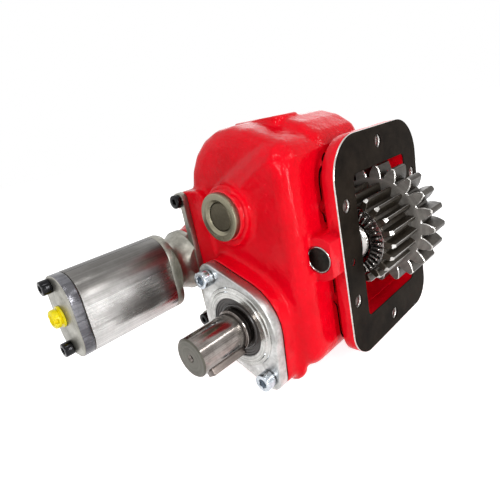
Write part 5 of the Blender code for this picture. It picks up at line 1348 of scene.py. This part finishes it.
@dataclass
class OutputEnd:
    """Output shaft with its key, the bearing cover, its seal and its two screws."""

    shop: Workshop
    shaft_radius: float = 0.0175
    shaft_end: float = -0.187
    centre_hole: Profile = ((0.0, 0.005), (0.0021, 0.004), (0.0021, 0.002), (0.0034, 0.0004),
                            (0.0040, 0.0))
    collar: Profile = ((0.0, -0.1392), (0.0014, -0.1387), (0.0017, -0.1383), (0.0017, -0.1346),
                       (0.0013, -0.1342), (0.0, -0.1342))
    seats: Profile = ((0.0215, -0.0837), (0.0190, -0.0402), (0.015, -0.0168))
    inner_end: float = -0.0011
    key_width: float = 0.010
    key_low: float = 0.0125
    key_high: float = 0.0222
    key_front: float = -0.178
    key_back: float = -0.138
    key_direction: float = -62.0
    cover_front: float = -0.1312
    cover_back: float = -0.1212
    cover_body: float = 0.0435
    ear_radius: float = 0.0125
    ear_reach: float = 0.0525
    ear_direction: float = 121.0
    hub_steps: Profile = (
        (0.0345, 0.0), (0.0348, 0.0004), (0.0352, 0.0011), (0.0379, 0.0012), (0.0384, 0.0016),
        (0.0386, 0.0025), (0.0392, 0.0030))
    spigot_radius: float = 0.03585
    spigot_end: float = -0.1013
    spigot_root: float = 0.003
    pocket_end: float = -0.099
    plate_round: float = 0.0009
    key_edge: float = 0.0005
    bearing_stop: float = -0.1197
    bearing_bore: float = 0.0308
    screw_bore: float = 0.0055
    spot_radius: float = 0.0098
    hub_face: float = -0.1337
    seal_radius: float = 0.028
    seal_rim: Profile = ((0.0, 0.0005), (-0.0004, 0.0), (-0.0022, 0.0), (-0.0026, 0.0007))
    seal_face: Profile = ((0.0238, 0.0009), (0.0232, 0.0016), (0.0222, 0.0016), (0.0216, 0.0008),
                          (0.0204, 0.0006), (0.0198, 0.0011))
    seal_lip: Profile = ((0.0012, 0.0016), (0.0, 0.0022), (0.0, 0.0034))
    seal_slope: float = 0.003
    seal_front: float = -0.1322
    seal_back: float = -0.1242
    screw_seat: float = -0.1315
    screw_length: float = 0.030

    def ears(self) -> list[Spot]:
        """Returns the axes of the cover's two screws, the upper one first."""
        return [OUTPUT.polar(self.ear_reach, self.ear_direction),
                OUTPUT.polar(self.ear_reach, self.ear_direction + 180.0)]

    def build(self) -> None:
        """Builds and delivers the pieces of the output end."""
        self.shaft()
        self.key()
        self.cover()
        self.seal()
        for name, axis in zip(("upper", "lower"), self.ears()):
            screw = COVER_SCREW.shape(axis, self.screw_seat, self.screw_length)
            self.shop.deliver(screw, f"cover_bolt_{name}", "case", "zinc", ["bright_zinc"],
                              [f"cover_screw_{name}"])

    def shaft(self) -> None:
        """Makes the shaft with its seats, the collar by the seal, the centre hole and the key seat."""
        r, end = self.shaft_radius, self.shaft_end
        profile = [(radius, end + y) for radius, y in self.centre_hole]
        profile += [(r - LEAD, end), (r, end + LEAD)]
        profile += [(r + rise, y) for rise, y in self.collar]
        profile.append((r, self.seats[0][1]))
        for (radius, front), (_, back) in zip(self.seats, (*self.seats[1:], (0.0, self.inner_end))):
            profile += [(radius, front), (radius, back)]
        shaft = Shape.turned([*profile, (0.0, self.inner_end)], OUTPUT, 128)
        shaft.marked(1, lambda face: face.calc_center_median().y < end + 0.0006)
        seat = self.key_block(FIT * 0.5, self.key_low - 0.0002, self.shaft_radius + 0.01, 0.0)
        self.shop.deliver(shaft.carved(seat), "output_shaft_turned", "output_line", "bright_steel",
                          ["ground_shaft_steel", "faced_shaft_end"], ["output_shaft"])

    def key_block(self, grow: float, low: float, high: float, edge: float) -> Shape:
        """Makes the key, or with some growth the cutter of its seat.

        Args:
            grow: how far it stands out at its sides.
            low: radius of its lower face.
            high: radius of its upper face.
            edge: how far its long edges are broken.

        Returns:
            The block with one round end, in place.
        """
        half = self.key_width / 2 + grow
        block = Shape.box((-half, self.key_front - grow, low), (half, self.key_back + grow, high))
        block.bevelled(half * 0.98, 12, 35.0,
                       where=lambda p: abs(p.x) > half * 0.9 and p.y > self.key_back - 0.002
                       and low + 1e-4 < p.z < high - 1e-4)
        if edge:
            block.bevelled(edge, 2, 50.0)
        turn = Matrix.Rotation(math.radians(90.0 - self.key_direction), 4, "Y")
        return block.moved(Matrix.Translation(OUTPUT.offset) @ turn)

    def key(self) -> None:
        """Makes the feather key, square at its outer end and round at its inner one."""
        key = self.key_block(0.0, self.key_low, self.key_high, self.key_edge)
        self.shop.deliver(key, "output_key_bar", "output_line", "bright_steel", ["key_steel"],
                          ["output_key"])

    def cover(self) -> None:
        """Makes the cover: an eared plate, a stepped hub turned bright, and the seal's pocket."""
        upper, lower = self.ears()
        circles = [upper.circle(self.ear_radius), lower.circle(self.ear_radius),
                   OUTPUT.circle(self.cover_body)]
        plate = Shape.belt(circles, self.cover_front, self.cover_back, 128)
        plate.bevelled(self.plate_round, 3, CRISP_ANGLE)
        face, back = self.hub_face, self.cover_back - 0.001
        steps = [(radius, face + y) for radius, y in self.hub_steps]
        hub = Shape.turned([(0.0, face), *steps, (steps[-1][0], back), (0.0, back)], OUTPUT, 160)
        root = self.cover_back - self.spigot_root
        spigot = rod(OUTPUT, self.spigot_radius, root, self.spigot_end, 96)
        plate.joined(hub, spigot)
        plate.marked(1, lambda side: side.calc_center_median().y < self.cover_front - 0.0001)
        mouth, seat, end = self.seal_radius + LEAD, self.seal_radius + FIT, self.pocket_end
        shelf, stop, bore = self.seal_back + FIT, self.bearing_stop, self.bearing_bore
        inner = self.seats[0][0]
        pocket = Shape.turned([
            (0.0, face - CUT_MARGIN), (mouth, face - CUT_MARGIN), (mouth, face - 0.0001),
            (seat, face + 0.0009), (seat, shelf), (inner, shelf), (inner, stop), (bore, stop),
            (bore, end), (0.0, end)], OUTPUT, 128)
        spots = []
        above, below = self.cover_front - CUT_MARGIN, self.cover_front + 0.0002
        for ear in (upper, lower):
            spots.append(rod(ear, self.screw_bore, face - CUT_MARGIN, self.cover_back + CUT_MARGIN, 48))
            spots.append(Shape.turned([(0.0, above), (self.spot_radius, above),
                                       (self.spot_radius, below), (0.0, below)], ear, 64))
        self.shop.deliver(plate.carved(pocket, *spots), "output_cover_plate", "case", "cast_aluminium",
                          ["cover_aluminium", "turned_cover_hub"], ["output_cover"])

    def seal(self) -> None:
        """Makes the shaft seal with its stepped face and dust lip."""
        front, back, outer = self.seal_front, self.seal_back, self.seal_radius
        lip = self.shaft_radius + FIT
        section = [(base + step, front + y) for base, steps in (
            (outer, self.seal_rim), (0.0, self.seal_face), (lip, self.seal_lip)) for step, y in steps]
        section += [(lip + self.seal_slope, back), (outer, back)]
        seal = Shape.turned(section, OUTPUT, 128, ring=True)
        self.shop.deliver(seal, "shaft_seal_ring", "case", "seal_rubber", ["seal_rubber"],
                          ["output_oil_seal"], 28.0)


# Pump

@dataclass
class GearPump:
    """Gear pump: flanged front cover, drawn body, rear cover, screws and the port's plug."""

    shop: Workshop
    shift: float = -0.0035
    half_width: float = 0.0245
    top: float = 0.034
    bottom: float = 0.041
    top_round: float = 0.0225
    bottom_round: float = 0.0205
    seat: float = -0.108
    flange_back: float = -0.1083
    flange_front: float = -0.1143
    plate_back: float = -0.134
    body_front: float = -0.142
    body_back: float = -0.230
    cover_back: float = -0.240
    neck_radius: float = 0.0255
    neck_foot: Profile = ((0.0035, -0.002), (0.0018, 0.0006), (0.0006, 0.0022), (0.0, 0.0045))
    neck_head: Profile = ((0.0, -0.0135), (0.0010, -0.0085), (0.0032, -0.0040))
    flare_lip: Profile = ((-0.0008, -0.0008), (0.0, 0.0002), (0.0, 0.002))
    flare_radius: float = 0.0308
    pilot_radius: float = 0.024
    pilot_length: float = 0.006
    ear_x: float = 0.0195
    ear_z: float = 0.063
    ear_radius: float = 0.0075
    far_ear_x: float = -0.040
    disc_radius: float = 0.0310
    bar: float = 0.006
    shaft_radius: float = 0.0055
    coupling_stop: float = -0.1103
    coupling_bore: float = 0.0133
    coupling_depth: float = 0.008
    flange_bore: float = 0.0045
    through_bore: float = 0.0043
    through_x: float = -0.012
    through_z: Pair = (0.0245, -0.0348)
    port_offset: Pair = (-0.010, -0.004)
    trim_half: float = 0.05
    trim_far: float = 0.03
    trim_rise: float = 0.009
    cast_round: float = 0.0007
    end_round: float = 0.0009
    drawn_round: float = 0.00035
    grooves: Pair = (0.0010, 0.0048)
    groove_width: float = 0.0007
    groove_depth: float = 0.0011
    screw_length: float = 0.022
    chamber: float = 0.0126
    plug_radius: float = 0.0085
    plug_section: Profile = (
        (0.0, -0.0066), (0.52, -0.0066), (0.57, -0.0070), (0.60, -0.0083), (0.66, -0.0087),
        (0.86, -0.0083), (0.97, -0.0074), (1.0, -0.0062), (1.0, -0.0036), (0.84, -0.0031),
        (0.82, -0.0022), (0.9, -0.0018), (1.13, -0.0016), (1.15, -0.0012), (1.15, 0.0), (0.8, 0.0),
        (0.8, 0.0065), (0.7, 0.007), (0.0, 0.007))

    def build(self) -> None:
        """Builds and delivers the pieces of the pump."""
        self.front_cover()
        self.body()
        self.rear_cover()
        self.screws()
        self.plug()

    def oval(self, y_low: float, y_high: float) -> Shape:
        """Makes a block with the pump's oval section between two planes."""
        middle = PUMP.x + self.shift
        circles = []
        for side in (-1, 1):
            circles.append((middle + side * (self.half_width - self.bottom_round),
                            PUMP.z - self.bottom + self.bottom_round, self.bottom_round))
            circles.append((middle + side * (self.half_width - self.top_round),
                            PUMP.z + self.top - self.top_round, self.top_round))
        return Shape.belt(circles, y_low, y_high, 96)

    def through_axes(self) -> list[Spot]:
        """Returns the axes of the two long screws, the upper one first."""
        return [PUMP.moved(self.through_x, up) for up in self.through_z]

    def flange_axes(self) -> list[Spot]:
        """Returns the axes of the flange's screws: upper, lower and inner."""
        return [PUMP.moved(self.ear_x, self.ear_z), PUMP.moved(self.ear_x, -self.ear_z),
                PUMP.moved(self.far_ear_x, 0.0)]

    def front_cover(self) -> None:
        """Makes the cast front cover: eared flange, flared neck and plate."""
        front, back = self.flange_front, self.flange_back
        upper, lower, inner = self.flange_axes()
        flange = Shape.belt([inner.circle(self.ear_radius), PUMP.circle(self.disc_radius)], front, back)
        right = upper.x + self.ear_radius
        side = Shape.box((right - self.bar, front, lower.z), (right, back, upper.z))
        ears = [rod(axis, self.ear_radius, front, back) for axis in (upper, lower)]
        outer = [(self.neck_radius + rise, self.plate_back + y) for rise, y in self.neck_foot]
        outer += [(self.neck_radius + rise, front + y) for rise, y in self.neck_head]
        outer += [(self.flare_radius + rise, front + y) for rise, y in self.flare_lip]
        pilot_end = self.seat + self.pilot_length
        neck = Shape.turned([(0.0, outer[0][1]), *outer, (self.pilot_radius, outer[-1][1]),
                             (self.pilot_radius, pilot_end), (0.0, pilot_end)], PUMP, 96)
        plate = self.oval(self.body_front, self.plate_back).bevelled(self.cast_round, 2, CRISP_ANGLE)
        beyond = right - self.bar / 2
        low, high = PUMP.z - self.trim_half, PUMP.z + self.trim_half
        flange.carved(Shape.box((beyond, front - CUT_MARGIN, low),
                                (beyond + self.trim_far, back + CUT_MARGIN, high)))
        flange.joined(side, *ears)
        flange.bevelled(self.cast_round, 2, CRISP_ANGLE)
        neck.carved(Shape.box((right - self.end_round, front - self.trim_rise, low),
                              (right + self.trim_far, back + 2 * CUT_MARGIN, high)))
        flange.joined(neck, plate)
        start, shoulder = self.body_front - CUT_MARGIN, self.coupling_stop
        end = self.seat + self.coupling_depth
        bore, wide = self.shaft_radius + FIT, self.coupling_bore
        cutters = [Shape.turned([(0.0, start), (bore, start), (bore, shoulder), (wide, shoulder),
                                 (wide, end), (0.0, end)], PUMP, 48)]
        cutters += [rod(axis, self.flange_bore, front - CUT_MARGIN, back + CUT_MARGIN, 32)
                    for axis in self.flange_axes()]
        cutters += [rod(axis, self.through_bore, start, self.plate_back - 0.0015, 32)
                    for axis in self.through_axes()]
        self.shop.deliver(flange.carved(*cutters), "pump_flanged_cover", "case", "cast_aluminium",
                          ["pump_end_aluminium"], ["pump_front_cover"])

    def body(self) -> None:
        """Makes the drawn body with the chamber of its two gears and its screw holes."""
        low, high = self.body_back + FIT * 0.5, self.body_front - FIT * 0.5
        body = self.oval(low, high).bevelled(self.drawn_round, 2, CRISP_ANGLE)
        cutters = [rod(axis, self.chamber, low - CUT_MARGIN, high + CUT_MARGIN)
                   for axis in (PUMP, PUMP_SECOND)]
        cutters += [rod(axis, self.through_bore, low - CUT_MARGIN, high + CUT_MARGIN, 32)
                    for axis in self.through_axes()]
        height = PUMP.z + self.top
        for across in self.grooves:
            left = PUMP.x + self.shift + across
            cutters.append(Shape.box(
                (left, low - CUT_MARGIN, height - self.groove_depth),
                (left + self.groove_width, high + CUT_MARGIN, height + CUT_MARGIN)))
        self.shop.deliver(body.carved(*cutters), "pump_barrel", "case", "extruded_aluminium",
                          ["drawn_pump_aluminium"], ["pump_body"])

    def port(self) -> Spot:
        """Returns the axis of the port in the rear cover."""
        return PUMP.moved(*self.port_offset)

    def rear_cover(self) -> None:
        """Makes the rear cover with its broken edges, its screw holes and its port."""
        cover = self.oval(self.cover_back, self.body_back - 0.0001)
        cover.bevelled(self.end_round, 3, CRISP_ANGLE)
        cutters = [tapped_hole(axis, self.flange_bore, self.cover_back, self.body_back + CUT_MARGIN)
                   for axis in self.through_axes()]
        cutters.append(rod(self.port(), self.plug_radius * 0.8 + FIT, self.cover_back - CUT_MARGIN,
                           self.body_back - CUT_MARGIN, 48))
        cover.marked(1, lambda face: abs(face.normal.y) < 0.5)
        self.shop.deliver(cover.carved(*cutters), "pump_end_cover", "case", "cast_aluminium",
                          ["pump_end_aluminium", "pump_end_side"], ["pump_rear_cover"])

    def screws(self) -> None:
        """Makes the two long screws and the three short ones of the flange."""
        length = self.plate_back - 0.003 - self.cover_back
        for name, axis in zip(("upper", "lower"), self.through_axes()):
            self.shop.deliver(THROUGH_SCREW.shape(axis, self.cover_back - FIT, length),
                              f"pump_long_bolt_{name}", "case", "black_bolt", ["black_bolt_steel"],
                              [f"pump_through_screw_{name}"])
        for name, axis in zip(("upper", "lower", "inner"), self.flange_axes()):
            self.shop.deliver(FLANGE_SCREW.shape(axis, self.flange_front - FIT, self.screw_length),
                              f"pump_flange_bolt_{name}", "case", "black_bolt", ["black_bolt_steel"],
                              [f"pump_flange_screw_{name}"])

    def plug(self) -> None:
        """Makes the plastic plug: flanged, ringed at its end and notched at its sides."""
        seat, r, axis = self.cover_back - FIT, self.plug_radius, self.port()
        plug = Shape.turned([(r * share, seat + y) for share, y in self.plug_section], axis, 64)
        notches = []
        for side in (-1, 1):
            low = axis.x + side * r * 0.62
            high = axis.x + side * r * 1.1
            notches.append(Shape.box((min(low, high), seat - 0.010, axis.z - r * 0.24),
                                     (max(low, high), seat - 0.0050, axis.z + r * 0.24)))
        self.shop.deliver(plug.carved(*notches), "transport_plug", "case", "yellow_plastic",
                          ["yellow_plastic"], ["port_plug"])


# Inner works

@dataclass
class InnerWorks:
    """Solids inside the case and the pump that stay as they are and get a finish."""

    shop: Workshop
    wearers: dict[str, tuple[str, ...]] = field(default_factory=lambda: {
        "gasket_paper": ("output_cover_gasket",),
        "oiled_gear_steel": ("output_gear", "intermediate_gear", "pump_drive_gear"),
        "dark_bearing_cage": ("output_gear_circlip",),
        "polished_bearing_steel": ("input_needle_rollers",),
        "bearing_bronze": ("intermediate_bush", "pump_drive_bush"),
        "ground_shaft_steel": ("intermediate_spacer", "pump_drive_shaft", "pump_idler_gear"),
        "seal_rubber": ("pump_shaft_seal",)})

    def build(self) -> None:
        """Dresses every fixed solid that no piece stands for."""
        finishes = {node: finish for finish, nodes in self.wearers.items() for node in nodes}
        for place in ("front", "rear"):
            finishes[f"thrust_washer_{place}"] = "polished_bearing_steel"
            finishes[f"pump_bearing_block_{place}"] = "bearing_bronze"
            finishes[f"{place}_bearing_ball_cage"] = "dark_bearing_cage"
            finishes[f"{place}_bearing_inner_ring"] = "polished_bearing_steel"
            finishes[f"{place}_bearing_outer_ring"] = "polished_bearing_steel"
        for node, finish in sorted(finishes.items()):
            self.shop.dress(node, finish)


# Studio

@dataclass
class Studio:
    """Plain pale floor and background, soft lamps and the camera."""

    focal_pixels: float = 413.8
    image_pixels: float = 500.0
    sensor: float = 36.0
    eye: Triple = (0.1819, -0.3412, 0.1232)
    forward: Triple = (-0.70122, 0.64817, -0.29693)
    right: Triple = (0.70880, 0.67867, -0.19239)
    down: Triple = (0.07682, -0.34537, -0.93532)
    ambient: float = 0.36
    floor_gap: float = 0.001
    floor_size: float = 6.0
    floor_glow: float = 0.72
    aim: Triple = (-0.09, -0.06, 0.0)
    lamps: tuple[tuple[str, Triple, Pair, float], ...] = (
        ("key", (0.74, -0.86, 0.34), (0.07, 0.50), 5.4),
        ("edge", (0.50, -0.185, 0.075), (0.030, 0.34), 1.5),
        ("line", (0.75, 0.33, 0.56), (0.55, 0.06), 1.3),
        ("spark", (0.42, -0.25, 0.98), (0.14, 0.14), 1.1),
        ("fill", (-0.60, -0.75, 0.70), (1.5, 1.5), 4.4),
        ("top", (-0.15, 0.10, 1.05), (1.2, 1.2), 0.9),
        ("back", (-0.50, 0.80, 0.35), (1.0, 1.0), 2.6))

    def build(self) -> None:
        """Sets up the view, the camera, the background, the floor and the lamps."""
        bpy.context.scene.view_settings.view_transform = "Standard"
        self.camera()
        self.background()
        self.floor()
        for lamp in self.lamps:
            self.lamp(*lamp)
        log.info("studio: camera, background, floor and %d lamps", len(self.lamps))

    def camera(self) -> None:
        """Places the camera at the photograph's viewing angle."""
        data = bpy.data.cameras.new("view")
        data.lens = self.sensor * self.focal_pixels / self.image_pixels
        data.sensor_width = self.sensor
        data.clip_start = 0.01
        camera = linked("view", data)
        columns = [Vector(self.right), -Vector(self.down), -Vector(self.forward), Vector(self.eye)]
        place = Matrix.Identity(4)
        for i, column in enumerate(columns):
            for j in range(3):
                place[j][i] = column[j]
        camera.matrix_world = place
        bpy.context.scene.camera = camera

    @staticmethod
    def seen(wiring: Wiring) -> Socket:
        """Returns 1 for rays that show the background, straight, in gloss or through glass."""
        path = wiring.add("ShaderNodeLightPath")
        either = wiring.calc("MAXIMUM", path.outputs["Is Camera Ray"], path.outputs["Is Glossy Ray"])
        return wiring.calc("MAXIMUM", either, path.outputs["Is Transmission Ray"])

    def background(self) -> None:
        """Makes the world: white where it is seen, softer where it only lights."""
        world = bpy.data.worlds.new("white_room")
        bpy.context.scene.world = world
        world.use_nodes = True
        wiring = Wiring(world.node_tree)
        shader = world.node_tree.nodes["Background"]
        shader.inputs["Color"].default_value = (1.0, 1.0, 1.0, 1.0)
        wiring.fill(shader, Strength=wiring.spread(self.seen(wiring), UNIT, (self.ambient, 1.0)))

    def floor(self) -> None:
        """Makes the pale floor, which keeps the object's shadow."""
        low = min(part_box(node)[0].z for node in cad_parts)
        mesh = bmesh.new()
        bmesh.ops.create_grid(mesh, x_segments=1, y_segments=1, size=self.floor_size,
                              matrix=Matrix.Translation((0.0, 0.0, low - self.floor_gap)))
        data = bpy.data.meshes.new("floor")
        mesh.to_mesh(data)
        mesh.free()
        floor = linked("floor", data)
        material = bpy.data.materials.new("pale_floor")
        material.use_nodes = True
        wiring = Wiring(material.node_tree)
        shader = material.node_tree.nodes["Principled BSDF"]
        place = wiring.add("ShaderNodeTexCoord").outputs["Object"]
        pale = wiring.tint(wiring.noise(place, 3.0), (0.90, 0.90, 0.90), (0.93, 0.93, 0.93))
        wiring.fill(shader, Base_Color=pale, Roughness=0.9, Specular_IOR_Level=0.0,
                    Emission_Color=(1.0, 1.0, 1.0, 1.0),
                    Emission_Strength=wiring.calc("MULTIPLY", self.seen(wiring), self.floor_glow))
        data.materials.append(material)

    def lamp(self, name: str, place: Triple, size: Pair, power: float) -> None:
        """Adds a soft lamp that looks at the object.

        Args:
            name: the lamp's name.
            place: where it stands.
            size: its width and height in metres.
            power: its power in watts.
        """
        data = bpy.data.lights.new(name, "AREA")
        data.shape = "RECTANGLE"
        data.size, data.size_y = size
        data.energy = power
        turn = (Vector(self.aim) - Vector(place)).to_track_quat("-Z", "Y").to_matrix().to_4x4()
        linked(name, data).matrix_world = Matrix.Translation(place) @ turn


def main() -> None:
    """Builds every sub-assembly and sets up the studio."""
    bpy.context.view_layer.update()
    shop = Workshop()
    for assembly in (Case(shop), InputGears(shop), OutputEnd(shop), GearPump(shop), InnerWorks(shop),
                     Studio()):
        assembly.build()
        log.info("%s is ready", type(assembly).__name__)


if __name__ == "__main__":
    main()
